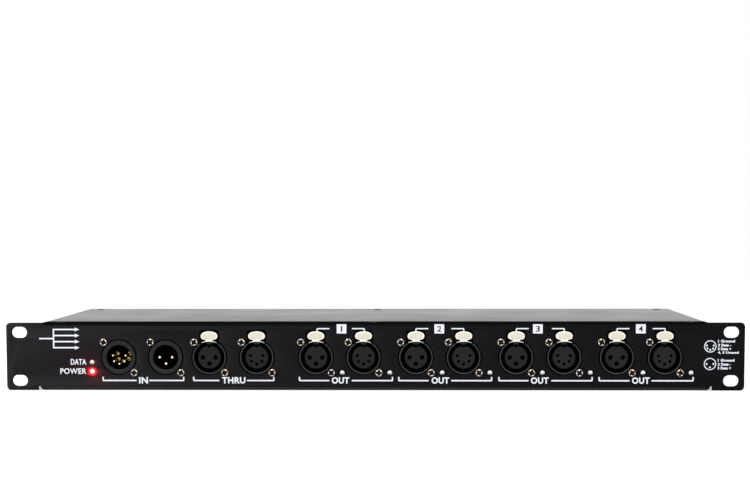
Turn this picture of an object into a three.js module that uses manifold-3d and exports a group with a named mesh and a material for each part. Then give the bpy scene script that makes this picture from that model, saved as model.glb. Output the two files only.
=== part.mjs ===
// DMX splitter, one rack unit high. Millimetres, +Z up, the front looks along -Y.
// Inside the unit group x runs to the right, y runs back from the panel's front face
// and z runs up from the underside of the base.
import * as THREE from "three";
import { mergeVertices } from "three/addons/utils/BufferGeometryUtils.js";
import Module from "manifold-3d";

const wasm = await Module();
wasm.setup();

// Facets and tolerances
const wideFacets = 16;
const smallFacets = 10;
const fineFacets = 8;
const bendSteps = 3;
const curveSteps = 2;
const weldTolerance = 1e-4;
const overrun = 1;
const fitGap = 0.3;

// Folded tray: panel, ears, base and rear wall
const sheetThickness = 1.5;
const bendRadius = 1.9;
const earWidth = 24.6;
const earCornerRadius = 2.8;
const slotInset = 8.75;
const slotSpacing = 31.75;
const slotLength = 10;
const slotHeight = 7.3;
const coverFlangeDepth = 12;
const flangeEndTrim = 2.2;
const sideFlangeHeight = 12;
const sideFlangeSetback = 3;
const reliefWidth = 3.7;
const reliefHeight = 2.1;
const reliefSlant = 1.2;
const standoffRadius = 3;
const standoffHeight = 5.6;

// Cover and its screws
const coverThickness = 1;
const coverBendRadius = 1.5;
const coverSideGap = 0.3;
const coverSetback = 1.2;
const coverLift = 0.5;
const coverScrewInset = 9;
const coverScrewSideInset = 9.5;
const coverScrewHeadRadius = 2.9;
const coverScrewHeadHeight = 0.4;
const coverScrewShankRadius = 1.5;
const coverScrewShankLength = 4;
const coverLipStart = 4.5;
const coverLipTrim = 3;
const sideScrewHeight = 8;
const sideScrewInset = 30;

// Sockets, measured from each socket's centre on the panel's front face
const socketFlangeWidth = 26;
const socketFlangeThickness = 2;
const socketFlangeCorner = 7;
const socketScrewOffset = 10;
const inPairGap = 4.8;
const inToThruGap = 2.7;
const pairGap = 5.14;
const thruToOutGap = 12.83;
const groupGap = 8.2;
const outGroupCount = 4;
const firstSocketInset = 49.6;
const lastSocketInset = 27.17;
const ringRadius = 10.95;
const ringProud = 0.8;
const panelHoleGap = 0.8;
const barrelEnd = 20;
const footHalfWidth = 8;
const footStart = 8;
const footDrop = 12.6;
const footRise = 4;
const femaleBoreRadius = 9.7;
const femaleBoreDepth = 15;
const insertRadius = 7.6;
const insertFront = 0.1;
const insertChamfer = 0.5;
const insertTailThickness = 2;
const insertTailHalfWidth = 5.5;
const keyHalfWidth = 0.9;
const keyDepth = 1.5;
const contactDepth = 10;
const threePinCircle = 4.1;
const fivePinCircle = 4.3;
const fivePinSpacing = 52.75;
const threeHoleRadius = 1.45;
const fiveHoleRadius = 0.95;
const maleBoreRadius = 8.15;
const maleBevel = 1.4;
const carrierFront = 16.5;
const pinTipDepth = 0.8;
const threePinRadius = 1.2;
const fivePinRadius = 0.95;
const pinPointLength = 0.7;

// Socket screws
const screwHeadRadius = 2.5;
const screwHeadHeight = 1.6;
const screwShankRadius = 1.4;
const screwHoleRadius = 1.7;

// Latch tab, measured from the socket's centre
const latchHeadWidth = 11.4;
const latchHeadHeight = 6;
const latchNeckWidth = 5.7;
const latchNeckHeight = 1.4;
const latchArcHalfWidth = 5.05;
const latchArcThickness = 0.95;
const latchProud = 1;
const latchBack = 0.4;
const latchStemHalfWidth = 1.8;
const latchStemThickness = 1.6;
const latchToothDrop = 1.1;
const latchToothStart = 1.8;
const latchToothEnd = 3.4;
const latchPivotDepth = 5;
const latchPinRadius = 0.8;
const latchWindowSideGap = 0.8;
const latchWindowTopGap = 1.1;
const latchWindowCorner = 2;
const cheekThickness = 1.8;
const cheekMargin = 1.2;

// Lamps
const lampRadius = 1.5;
const lampHoleGap = 0.15;
const lampProud = 1.3;
const lampRimRadius = 1.9;
const lampBodyEnd = 4.2;
const lampLegWidth = 0.5;
const lampLegSpacing = 1.3;
const lampLegReach = 2.3;
const lampDrop = 9.7;
const lampOffsetShare = 0.55;
const panelLampGap = 4.7;
const powerLampRise = 0.8;
const signalLampRise = 6;

// Boards and what they carry
const boardThickness = 1.6;
const boardFront = 5;
const boardSideGap = 8;
const connectorBoardDepth = 62;
const boardGap = 12;
const powerBoardDepth = 50;
const powerBoardWidth = 96;
const rearClearance = 9.5;
const topClearance = 2.65;
const flangeTopMargin = 0.9;
const chipLength = 10;
const chipWidth = 6.5;
const chipHeight = 3.2;
const chipRowStart = 28;
const converterLength = 20;
const converterWidth = 10;
const converterHeight = 10;
const converterRowStart = 44;
const headerLength = 16;
const headerWidth = 6;
const headerHeight = 8;
const ribbonWidth = 13;
const ribbonThickness = 0.9;
const ribbonRise = 8;
const ribbonCorner = 3;
const coreWidth = 26;
const coreDepth = 18;
const coreHeight = 20;
const bobbinWidth = 18;
const bobbinDepth = 24;
const bobbinHeight = 14;
const capacitorRadius = 8;
const capacitorHeight = 25;
const capacitorBead = 1;
const heatsinkWidth = 30;
const heatsinkDepth = 12;
const heatsinkHeight = 24;
const heatsinkBack = 3;
const heatsinkFinCount = 6;
const heatsinkFinThickness = 1.4;
const terminalLength = 14;
const terminalWidth = 10;
const terminalHeight = 11;
const partGap = 4;

// Rear fittings
const rearFittingInset = 34;
const rearFittingGap = 6;
const inletFlangeWidth = 50;
const inletFlangeHeight = 33;
const inletFlangeThickness = 2.6;
const inletFlangeCorner = 3;
const inletBodyWidth = 27.4;
const inletBodyHeight = 30;
const inletBodyDepth = 26;
const inletCavityWidth = 24.2;
const inletCavityHeight = 16.6;
const inletCavityCorner = 4.5;
const inletCavityDepth = 15.5;
const inletCavityWall = 1.7;
const bladeWidth = 2;
const bladeHeight = 4;
const bladeLength = 12;
const bladeSpacing = 7;
const bladeOffset = 2;
const drawerWidth = 22;
const drawerHeight = 7;
const drawerDepth = 20;
const drawerLip = 1.2;
const drawerWall = 0.8;
const fuseRadius = 2.6;
const fuseLength = 20;
const fuseCapLength = 4.5;
const fuseCapStep = 0.15;
const switchBezelWidth = 15;
const switchBezelHeight = 21;
const switchBezelThickness = 1.8;
const switchBodyWidth = 13;
const switchBodyHeight = 19;
const switchBodyDepth = 16;
const switchWall = 0.75;
const switchCavityDepth = 7;
const rockerHeight = 15.4;
const rockerProud = 0.8;
const rockerPivotDepth = 2;
const rockerBellyDepth = 4.5;
const rockerPinRadius = 1.2;
const rockerSwing = 12;
const wallCutGap = 0.3;
const leadRadius = 2.2;
const earthLeadRadius = 1.4;
const leadFacets = 8;
const leadSteps = 20;
const leadBend = 8;
const earthStudRadius = 2;
const earthStudHeight = 11;
const earthNutRadius = 4;
const earthNutHeight = 3.2;
const earthStudInset = 14;

// Sizes worked out from the ones above
const boardTop = sheetThickness + standoffHeight + boardThickness;
const socketHeight = boardTop + footDrop;
const latchHeadBottom = ringRadius;
const latchHeadTop = latchHeadBottom + latchHeadHeight;
const latchWindowTop = latchHeadTop + latchWindowTopGap;
const latchWindowHalf = latchHeadWidth / 2 + latchWindowSideGap;
const socketFlangeTop = latchWindowTop + flangeTopMargin;
const panelHeight = socketHeight + socketFlangeTop + topClearance + sheetThickness;
const socketPitch = socketFlangeWidth + pairGap;
const groupPitch = socketPitch + socketFlangeWidth + groupGap;
const rearWallHeight = panelHeight - coverThickness;
const panelHoleRadius = ringRadius + panelHoleGap;
const flangeBack = sheetThickness + socketFlangeThickness;
const latchNeckBottom = ringRadius - latchNeckHeight;
const latchPivotHeight = latchNeckBottom + latchStemThickness / 2;
const latchSlotHalf = latchNeckWidth / 2 + fitGap;
const lampHeight = socketHeight - lampDrop;
const boxDepth = boardFront + connectorBoardDepth + boardGap + powerBoardDepth
  + rearClearance + sheetThickness;
const boxWidth = firstSocketInset + socketFlangeWidth * 3 + inPairGap + inToThruGap
  + thruToOutGap + socketPitch * 2 + groupPitch * (outGroupCount - 1) + lastSocketInset;
const boxHalf = boxWidth / 2;
const panelHalf = boxHalf + earWidth;

// Materials
const painted = { color: 0x1b1d21, roughness: 0.55, metalness: 0.2 };
const materials = {
  tray: new THREE.MeshStandardMaterial({ ...painted }),
  cover: new THREE.MeshStandardMaterial({ ...painted, color: 0x24262a }),
  shell: new THREE.MeshStandardMaterial({ color: 0x2a2a2e, roughness: 0.45, metalness: 0.3 }),
  insert: new THREE.MeshStandardMaterial({ color: 0x303034, roughness: 0.6, metalness: 0 }),
  latch: new THREE.MeshStandardMaterial({ color: 0xdcd7c8, roughness: 0.3, metalness: 0.8 }),
  gold: new THREE.MeshStandardMaterial({ color: 0xc9a04a, roughness: 0.3, metalness: 0.9 }),
  lamp: new THREE.MeshStandardMaterial({ color: 0xd8d8dc, roughness: 0.25, metalness: 0 }),
  lampOn: new THREE.MeshStandardMaterial({ color: 0xff3a3a, roughness: 0.25, metalness: 0 }),
  board: new THREE.MeshStandardMaterial({ color: 0x1f5a35, roughness: 0.5, metalness: 0 }),
  core: new THREE.MeshStandardMaterial({ color: 0x3a3a3c, roughness: 0.8, metalness: 0.1 }),
  capacitor: new THREE.MeshStandardMaterial({ color: 0x20242e, roughness: 0.35, metalness: 0.1 }),
  heatsink: new THREE.MeshStandardMaterial({ color: 0xa8aaad, roughness: 0.4, metalness: 0.9 }),
  ribbon: new THREE.MeshStandardMaterial({ color: 0x9a9ca0, roughness: 0.7, metalness: 0 }),
  plastic: new THREE.MeshStandardMaterial({ color: 0x18181a, roughness: 0.45, metalness: 0 }),
  glass: new THREE.MeshStandardMaterial({ color: 0xc8ccd0, roughness: 0.1, metalness: 0.2 }),
  earthLead: new THREE.MeshStandardMaterial({ color: 0x6f9a2c, roughness: 0.6, metalness: 0 }),
  steel: new THREE.MeshStandardMaterial({ color: 0xb9b6ae, roughness: 0.35, metalness: 0.9 }),
};

// Turns a closed three.js geometry into a solid that can be joined and cut
function solidOf(geometry) {
  geometry.deleteAttribute("normal");
  geometry.deleteAttribute("uv");
  const welded = mergeVertices(geometry, weldTolerance);
  return new wasm.Manifold(new wasm.Mesh({
    numProp: 3,
    vertProperties: new Float32Array(welded.attributes.position.array),
    triVerts: new Uint32Array(welded.index.array),
  }));
}

function joined(solids) {
  return solids.reduce((whole, piece) => whole.add(piece));
}

// A box between two corners
function boxBetween(low, high) {
  const size = high.map((value, axis) => value - low[axis]);
  const geometry = new THREE.BoxGeometry(...size);
  geometry.translate(...high.map((value, axis) => (value + low[axis]) / 2));
  return solidOf(geometry);
}

// A profile of [radius, y] points turned round an axis along y through (x, z)
function turned(profile, facets, x = 0, z = 0) {
  const points = profile.map(([radius, y]) => new THREE.Vector2(radius, y));
  const geometry = new THREE.LatheGeometry(points, facets);
  geometry.translate(x, 0, z);
  return solidOf(geometry);
}

function drum(radius, start, end, facets, x = 0, z = 0) {
  return turned([[0, start], [radius, start], [radius, end], [0, end]], facets, x, z);
}

// A profile of [radius, z] points turned round an upright axis through (x, y)
function upright(profile, facets, x, y) {
  const points = profile.map(([radius, z]) => new THREE.Vector2(radius, z));
  const geometry = new THREE.LatheGeometry(points, facets);
  geometry.rotateX(Math.PI / 2);
  geometry.translate(x, y, 0);
  return solidOf(geometry);
}

// A cylinder along x, centred on (x, y, z)
function crossPin(radius, length, facets, x, y, z) {
  const geometry = new THREE.CylinderGeometry(radius, radius, length, facets);
  geometry.rotateZ(Math.PI / 2);
  geometry.translate(x, y, z);
  return solidOf(geometry);
}

// A shape drawn in x and z, reaching from y = start to y = end
function slabAcross(shape, start, end) {
  const options = { depth: end - start, bevelEnabled: false, curveSegments: curveSteps };
  const geometry = new THREE.ExtrudeGeometry(shape, options);
  geometry.rotateX(Math.PI / 2);
  geometry.translate(0, end, 0);
  return solidOf(geometry);
}

// A shape drawn in y and z, reaching from x = start to x = end
function slabAlong(shape, start, end) {
  const options = { depth: end - start, bevelEnabled: false, curveSegments: curveSteps };
  const geometry = new THREE.ExtrudeGeometry(shape, options);
  const turn = new THREE.Matrix4().makeBasis(
    new THREE.Vector3(0, 1, 0),
    new THREE.Vector3(0, 0, 1),
    new THREE.Vector3(1, 0, 0),
  );
  geometry.applyMatrix4(turn);
  geometry.translate(start, 0, 0);
  return solidOf(geometry);
}

function polygonShape(points) {
  return new THREE.Shape(points.map(([across, up]) => new THREE.Vector2(across, up)));
}

function roundedRectangle(left, bottom, right, top, radius) {
  const shape = new THREE.Shape();
  shape.moveTo(left + radius, bottom);
  shape.lineTo(right - radius, bottom);
  shape.absarc(right - radius, bottom + radius, radius, -Math.PI / 2, 0);
  shape.lineTo(right, top - radius);
  shape.absarc(right - radius, top - radius, radius, 0, Math.PI / 2);
  shape.lineTo(left + radius, top);
  shape.absarc(left + radius, top - radius, radius, Math.PI / 2, Math.PI);
  shape.lineTo(left, bottom + radius);
  shape.absarc(left + radius, bottom + radius, radius, Math.PI, Math.PI * 1.5);
  return shape;
}

// The outline of a folded sheet: corners are its outer corners in order, each bent the same way,
// anticlockwise, and the inner line follows at the sheet's thickness
function foldedSheet(corners, thickness, radius) {
  const points = corners.map(([across, up]) => new THREE.Vector2(across, up));
  const last = points.length - 1;
  const direction = (index) => points[index + 1].clone().sub(points[index]).normalize();
  const inward = (heading) => new THREE.Vector2(-heading.y, heading.x);
  const outer = [points[0].clone()];
  const inner = [points[0].clone().addScaledVector(inward(direction(0)), thickness)];
  for (let index = 1; index < last; index += 1) {
    const before = direction(index - 1);
    const after = direction(index);
    const centre = points[index].clone()
      .addScaledVector(before, -radius)
      .addScaledVector(inward(before), radius);
    for (let step = 0; step <= bendSteps; step += 1) {
      const angle = (step / bendSteps) * before.angleTo(after);
      const spoke = inward(before).negate().rotateAround(new THREE.Vector2(), angle);
      outer.push(centre.clone().addScaledVector(spoke, radius));
      inner.push(centre.clone().addScaledVector(spoke, radius - thickness));
    }
  }
  outer.push(points[last].clone());
  inner.push(points[last].clone().addScaledVector(inward(direction(last - 1)), thickness));
  return new THREE.Shape([...outer, ...inner.reverse()]);
}

function meshOf(name, solid, material) {
  const raw = solid.getMesh();
  const geometry = new THREE.BufferGeometry();
  geometry.setAttribute("position", new THREE.BufferAttribute(raw.vertProperties, 3));
  geometry.setIndex(new THREE.BufferAttribute(raw.triVerts, 1));
  geometry.computeVertexNormals();
  const mesh = new THREE.Mesh(geometry, material);
  mesh.name = name;
  return mesh;
}

function groupAt(x, y, z, ...children) {
  const group = new THREE.Group();
  group.position.set(x, y, z);
  group.add(...children);
  return group;
}

// The sockets in their order from left to right
function socketRow() {
  const sockets = [];
  let x = -boxHalf + firstSocketInset;
  sockets.push({ name: "in_5pin", male: true, pins: 5, x });
  x += socketFlangeWidth + inPairGap;
  sockets.push({ name: "in_3pin", male: true, pins: 3, x });
  x += socketFlangeWidth + inToThruGap;
  sockets.push({ name: "thru_3pin", male: false, pins: 3, x });
  x += socketPitch;
  sockets.push({ name: "thru_5pin", male: false, pins: 5, x });
  x += socketFlangeWidth + thruToOutGap;
  for (let group = 1; group <= outGroupCount; group += 1) {
    sockets.push({ name: `out${group}_3pin`, male: false, pins: 3, x });
    sockets.push({ name: `out${group}_5pin`, male: false, pins: 5, x: x + socketPitch });
    x += groupPitch;
  }
  return sockets;
}

// The lamps: two beside the first socket and one to the right of each output
function lampRow(sockets) {
  const panelLampX = sockets[0].x - socketFlangeWidth / 2 - panelLampGap;
  const outputs = sockets.filter((socket) => socket.name.startsWith("out"));
  const beside = outputs.map((socket) => ({
    name: `${socket.name}_lamp`,
    x: socket.x + lampOffsetShare * socketPitch,
    z: lampHeight,
    reach: lampLegReach,
    lit: false,
  }));
  const powerZ = lampHeight + powerLampRise;
  const signalZ = powerZ + signalLampRise;
  return [
    { name: "power_lamp", x: panelLampX, z: powerZ, reach: lampLegReach, lit: true },
    { name: "signal_lamp", x: panelLampX, z: signalZ, reach: lampLegReach * 2, lit: false },
    ...beside,
  ];
}

function contactPlaces(pins) {
  if (pins === 3) {
    return [0, Math.PI, -Math.PI / 2].map((angle) => [
      threePinCircle * Math.cos(angle),
      threePinCircle * Math.sin(angle),
    ]);
  }
  const spacing = THREE.MathUtils.degToRad(fivePinSpacing);
  return [-2, -1, 0, 1, 2].map((step) => [
    fivePinCircle * Math.sin(step * spacing),
    -fivePinCircle * Math.cos(step * spacing),
  ]);
}

const screwPlaces = [
  [-socketScrewOffset, socketScrewOffset],
  [socketScrewOffset, -socketScrewOffset],
];

// Pan-head screw through the panel into the socket's flange
function socketScrew(x, z) {
  return turned([
    [0, -screwHeadHeight],
    [screwHeadRadius * 0.8, -screwHeadHeight],
    [screwHeadRadius, 0],
    [screwShankRadius, 0],
    [screwShankRadius, flangeBack],
    [0, flangeBack],
  ], fineFacets, x, z);
}

function socketFlangeShape(male) {
  const half = socketFlangeWidth / 2;
  const cut = socketFlangeCorner;
  const tower = latchWindowHalf + flangeTopMargin;
  const plainTop = [[half - cut, half]];
  const latchTower = [
    [tower, half],
    [tower, socketFlangeTop],
    [-tower, socketFlangeTop],
    [-tower, half],
  ];
  return polygonShape([
    [-half, -half + cut],
    [-half + cut, -half],
    [half, -half],
    [half, half - cut],
    ...(male ? plainTop : latchTower),
    [-half, half],
  ]);
}

// Ring, flange, barrel and foot, before the bore is cut
function socketBlank(male) {
  const body = turned([
    [0, -ringProud],
    [ringRadius, -ringProud],
    [ringRadius, barrelEnd],
    [0, barrelEnd],
  ], wideFacets);
  const flange = slabAcross(socketFlangeShape(male), sheetThickness, flangeBack);
  const foot = boxBetween(
    [-footHalfWidth, footStart, -footDrop],
    [footHalfWidth, barrelEnd, -footDrop + footRise],
  );
  return joined([body, flange, foot, ...screwPlaces.map(([x, z]) => socketScrew(x, z))]);
}

function femaleShell() {
  const bore = turned([
    [0, -ringProud - overrun],
    [femaleBoreRadius, -ringProud - overrun],
    [femaleBoreRadius, femaleBoreDepth],
    [insertRadius + fitGap, femaleBoreDepth],
    [insertRadius + fitGap, barrelEnd + overrun],
    [0, barrelEnd + overrun],
  ], wideFacets);
  const cheekOuter = latchSlotHalf + cheekThickness;
  const cheekBack = latchPivotDepth + latchPinRadius + fitGap + cheekMargin;
  const cheekTop = latchPivotHeight + latchPinRadius + fitGap + cheekMargin;
  const cheeks = boxBetween(
    [-cheekOuter, sheetThickness, femaleBoreRadius],
    [cheekOuter, cheekBack, cheekTop],
  );
  const slot = boxBetween(
    [-latchSlotHalf, -ringProud - overrun, insertRadius],
    [latchSlotHalf, cheekBack + fitGap, cheekTop + fitGap],
  );
  const arcRecess = boxBetween(
    [-latchArcHalfWidth - fitGap, -ringProud - overrun, insertRadius],
    [latchArcHalfWidth + fitGap, latchBack + fitGap * 2, cheekTop],
  );
  const pinHole = crossPin(
    latchPinRadius + fitGap,
    cheekOuter * 2 + overrun,
    fineFacets,
    0,
    latchPivotDepth,
    latchPivotHeight,
  );
  return socketBlank(false).add(cheeks)
    .subtract(bore)
    .subtract(slot)
    .subtract(arcRecess)
    .subtract(pinHole);
}

function maleShell() {
  const bore = turned([
    [0, -ringProud - overrun],
    [maleBoreRadius + maleBevel, -ringProud - overrun],
    [maleBoreRadius + maleBevel, -ringProud],
    [maleBoreRadius, -ringProud + maleBevel],
    [maleBoreRadius, barrelEnd + overrun],
    [0, barrelEnd + overrun],
  ], wideFacets);
  return socketBlank(true).subtract(bore);
}

// The plate of solder tails behind a socket's contacts, standing on the board
function tailPlate() {
  return boxBetween(
    [-insertTailHalfWidth, barrelEnd + fitGap, -footDrop],
    [insertTailHalfWidth, barrelEnd + fitGap + insertTailThickness, threePinCircle],
  );
}

function femaleInsert(pins) {
  const body = turned([
    [0, insertFront],
    [insertRadius - insertChamfer, insertFront],
    [insertRadius, insertFront + insertChamfer],
    [insertRadius, barrelEnd + fitGap + insertTailThickness],
    [0, barrelEnd + fitGap + insertTailThickness],
  ], wideFacets);
  const holeRadius = pins === 3 ? threeHoleRadius : fiveHoleRadius;
  const holes = contactPlaces(pins).map(([x, z]) => drum(
    holeRadius,
    insertFront - overrun,
    insertFront + contactDepth,
    fineFacets,
    x,
    z,
  ));
  const key = boxBetween(
    [-keyHalfWidth, insertFront - overrun, insertRadius - keyDepth],
    [keyHalfWidth, insertFront + keyDepth, insertRadius + overrun],
  );
  return body.add(tailPlate()).subtract(joined([...holes, key]));
}

function maleCarrier(pins) {
  const disc = drum(
    maleBoreRadius - fitGap,
    carrierFront,
    barrelEnd + fitGap + insertTailThickness,
    wideFacets,
  );
  const radius = pins === 3 ? threePinRadius : fivePinRadius;
  const contacts = contactPlaces(pins).map(([x, z]) => turned([
    [0, pinTipDepth],
    [radius * 0.5, pinTipDepth],
    [radius, pinTipDepth + pinPointLength],
    [radius, carrierFront + overrun],
    [0, carrierFront + overrun],
  ], fineFacets, x, z));
  return joined([disc, tailPlate(), ...contacts]);
}

function latchHeadShape() {
  const shape = new THREE.Shape();
  const middle = (latchHeadBottom + latchHeadTop) / 2;
  shape.absellipse(0, middle, latchHeadWidth / 2, latchHeadHeight / 2, 0, Math.PI * 2);
  return new THREE.Shape(shape.getPoints(curveSteps * 4).slice(1));
}

function latchArcShape() {
  const outer = ringRadius - latchArcThickness * 0.05;
  const inner = outer - latchArcThickness;
  const reach = Math.asin(latchArcHalfWidth / outer);
  const shape = new THREE.Shape();
  shape.absarc(0, 0, outer, Math.PI / 2 - reach, Math.PI / 2 + reach);
  shape.absarc(0, 0, inner, Math.PI / 2 + reach, Math.PI / 2 - reach, true);
  return shape;
}

// Pressed tab, neck, stem, tooth and pivot pin in one stamping
function latch() {
  const neckHalf = latchNeckWidth / 2;
  const head = slabAcross(latchHeadShape(), -latchProud, latchBack);
  const arc = slabAcross(latchArcShape(), -ringProud, latchBack);
  const neck = boxBetween(
    [-neckHalf, -latchProud, latchNeckBottom],
    [neckHalf, latchBack, latchHeadBottom + latchHeadHeight * 0.25],
  );
  const stem = boxBetween(
    [-latchStemHalfWidth, 0, latchNeckBottom],
    [latchStemHalfWidth, latchPivotDepth + latchPinRadius, latchNeckBottom + latchStemThickness],
  );
  const tooth = boxBetween(
    [-latchStemHalfWidth, latchToothStart, latchNeckBottom - latchToothDrop],
    [latchStemHalfWidth, latchToothEnd, latchNeckBottom + latchStemThickness / 2],
  );
  const pin = crossPin(
    latchPinRadius,
    (latchSlotHalf + cheekThickness * 0.8) * 2,
    fineFacets,
    0,
    latchPivotDepth,
    latchPivotHeight,
  );
  return joined([head, arc, neck, stem, tooth, pin]);
}

// Round lamp with a rim behind the panel and two legs bent down to the board
function lamp(height, reach) {
  const drop = height - boardTop;
  const glass = turned([
    [0, -lampProud],
    [lampRadius * 0.7, -lampProud * 0.7],
    [lampRadius, 0],
    [lampRadius, sheetThickness],
    [lampRimRadius, sheetThickness],
    [lampRimRadius, lampBodyEnd],
    [0, lampBodyEnd],
  ], fineFacets);
  const legs = [-1, 1].flatMap((side) => {
    const middle = side * lampLegSpacing / 2;
    const legEnd = lampBodyEnd + reach;
    return [
      boxBetween(
        [middle - lampLegWidth / 2, lampBodyEnd - lampLegWidth, -lampLegWidth / 2],
        [middle + lampLegWidth / 2, legEnd, lampLegWidth / 2],
      ),
      boxBetween(
        [middle - lampLegWidth / 2, legEnd - lampLegWidth, -drop],
        [middle + lampLegWidth / 2, legEnd, lampLegWidth / 2],
      ),
    ];
  });
  return joined([glass, ...legs]);
}

// Where the two boards stand on their posts
const connectorBoardHalf = boxHalf - boardSideGap;
const powerBoardStart = boardFront + connectorBoardDepth + boardGap;
const inletX = -boxHalf + rearFittingInset + inletFlangeWidth / 2 - boardSideGap;
const switchX = inletX + inletFlangeWidth / 2 + rearFittingGap + switchBezelWidth / 2;
const powerBoardLeft = switchX + switchBezelWidth / 2 + rearFittingGap;
const rearFittingHeight = panelHeight / 2;
const standoffInset = standoffRadius * 2;

function standoffPlaces() {
  const front = boardFront + standoffInset * 1.5;
  const back = boardFront + connectorBoardDepth - standoffInset;
  const reach = connectorBoardHalf - standoffInset;
  const rows = [-1, -0.5, 0, 0.5, 1].flatMap((share) => [[share * reach, front], [share * reach, back]]);
  const left = powerBoardLeft + standoffInset;
  const right = powerBoardLeft + powerBoardWidth - standoffInset;
  const near = powerBoardStart + standoffInset;
  const far = powerBoardStart + powerBoardDepth - standoffInset;
  return [...rows, [left, near], [left, far], [right, near], [right, far]];
}

const coverScrewX = [-boxHalf + coverScrewSideInset, 0, boxHalf - coverScrewSideInset];
const coverScrewY = [coverScrewInset, boxDepth - coverScrewInset];
const sideScrewY = [sideScrewInset, boxDepth - sideScrewInset];

function earPlate() {
  const shape = roundedRectangle(-panelHalf, 0, panelHalf, panelHeight, earCornerRadius);
  const middle = boxBetween(
    [-boxHalf, -overrun, -overrun],
    [boxHalf, sheetThickness + overrun, panelHeight + overrun],
  );
  return slabAcross(shape, 0, sheetThickness).subtract(middle);
}

// The cut in one ear where the base's bend ends
function bendRelief(side) {
  const corners = [
    [side * (boxHalf - reliefSlant / 2), -overrun],
    [side * (boxHalf + reliefWidth), -overrun],
    [side * (boxHalf + reliefWidth), reliefHeight],
    [side * (boxHalf + reliefSlant / 2), reliefHeight],
  ];
  return slabAcross(polygonShape(corners), -overrun, bendRadius + overrun);
}

function panelCuts(sockets, lamps) {
  const cuts = [];
  for (const socket of sockets) {
    cuts.push(drum(panelHoleRadius, -overrun, bendRadius + overrun, wideFacets, socket.x, socketHeight));
    for (const [x, z] of screwPlaces) {
      cuts.push(drum(
        screwHoleRadius,
        -overrun,
        bendRadius + overrun,
        fineFacets,
        socket.x + x,
        socketHeight + z,
      ));
    }
    if (!socket.male) {
      const window = roundedRectangle(
        socket.x - latchWindowHalf,
        socketHeight + insertRadius,
        socket.x + latchWindowHalf,
        socketHeight + latchWindowTop,
        latchWindowCorner,
      );
      cuts.push(slabAcross(window, -overrun, bendRadius + overrun));
    }
  }
  for (const place of lamps) {
    const radius = lampRadius + lampHoleGap;
    cuts.push(drum(radius, -overrun, bendRadius + overrun, fineFacets, place.x, place.z));
  }
  for (const side of [-1, 1]) {
    for (const level of [-1, 1]) {
      const x = side * (panelHalf - slotInset);
      const z = panelHeight / 2 + (level * slotSpacing) / 2;
      const slot = roundedRectangle(
        x - slotLength / 2,
        z - slotHeight / 2,
        x + slotLength / 2,
        z + slotHeight / 2,
        slotHeight / 2 * 0.99,
      );
      cuts.push(slabAcross(slot, -overrun, sheetThickness + overrun));
    }
    cuts.push(bendRelief(side));
  }
  return cuts;
}

function rearCuts() {
  const start = boxDepth - sheetThickness - overrun;
  const end = boxDepth + overrun;
  const hole = (x, width, height) => boxBetween(
    [x - width / 2 - wallCutGap, start, rearFittingHeight - height / 2 - wallCutGap],
    [x + width / 2 + wallCutGap, end, rearFittingHeight + height / 2 + wallCutGap],
  );
  return [
    hole(inletX, inletBodyWidth, inletBodyHeight),
    hole(switchX, switchBodyWidth, switchBodyHeight),
  ];
}

function coverScrewCuts() {
  const radius = coverScrewShankRadius + fitGap;
  const top = coverScrewX.flatMap((x) => coverScrewY.map((y) => upright([
    [0, rearWallHeight - sheetThickness - overrun],
    [radius, rearWallHeight - sheetThickness - overrun],
    [radius, panelHeight + overrun],
    [0, panelHeight + overrun],
  ], fineFacets, x, y)));
  const side = sideScrewY.map((y) => crossPin(
    radius,
    boxWidth + overrun,
    fineFacets,
    0,
    y,
    sideScrewHeight,
  ));
  return [...top, ...side];
}

function chassisTray(sockets, lamps) {
  const folded = slabAlong(foldedSheet([
    [coverFlangeDepth, panelHeight],
    [0, panelHeight],
    [0, 0],
    [boxDepth, 0],
    [boxDepth, rearWallHeight],
    [boxDepth - coverFlangeDepth, rearWallHeight],
  ], sheetThickness, bendRadius), -boxHalf, boxHalf);
  const sideFlanges = [-1, 1].map((side) => {
    const outer = side * boxHalf;
    const inner = side * (boxHalf - sheetThickness);
    return boxBetween(
      [Math.min(outer, inner), sideFlangeSetback, sheetThickness / 2],
      [Math.max(outer, inner), boxDepth - sideFlangeSetback, sideFlangeHeight],
    );
  });
  const standoffs = standoffPlaces().map(([x, y]) => upright([
    [0, sheetThickness / 2],
    [standoffRadius, sheetThickness / 2],
    [standoffRadius, boardTop - boardThickness],
    [0, boardTop - boardThickness],
  ], 6, x, y));
  const flangeTrims = [-1, 1].map((side) => {
    const ends = [side * (boxHalf - flangeEndTrim), side * (boxHalf + overrun)];
    return boxBetween(
      [Math.min(...ends), boxDepth - coverFlangeDepth - overrun, rearWallHeight - bendRadius - sheetThickness],
      [Math.max(...ends), boxDepth + overrun, panelHeight + overrun],
    );
  });
  const cuts = [...panelCuts(sockets, lamps), ...rearCuts(), ...coverScrewCuts(), ...flangeTrims];
  return joined([folded, earPlate(), ...sideFlanges, ...standoffs]).subtract(joined(cuts));
}

// The front of the lid: a step down and a lip that reaches under the panel's top flange
function coverLip() {
  const half = boxHalf - coverLipTrim;
  const stepFront = coverFlangeDepth + coverSideGap;
  const stepBack = stepFront + coverThickness;
  const lipTop = panelHeight - sheetThickness;
  return [
    boxBetween([-half, coverLipStart, lipTop - coverThickness], [half, stepBack, lipTop]),
    boxBetween([-half, stepFront, lipTop - coverThickness], [half, stepBack, panelHeight]),
  ];
}

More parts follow.
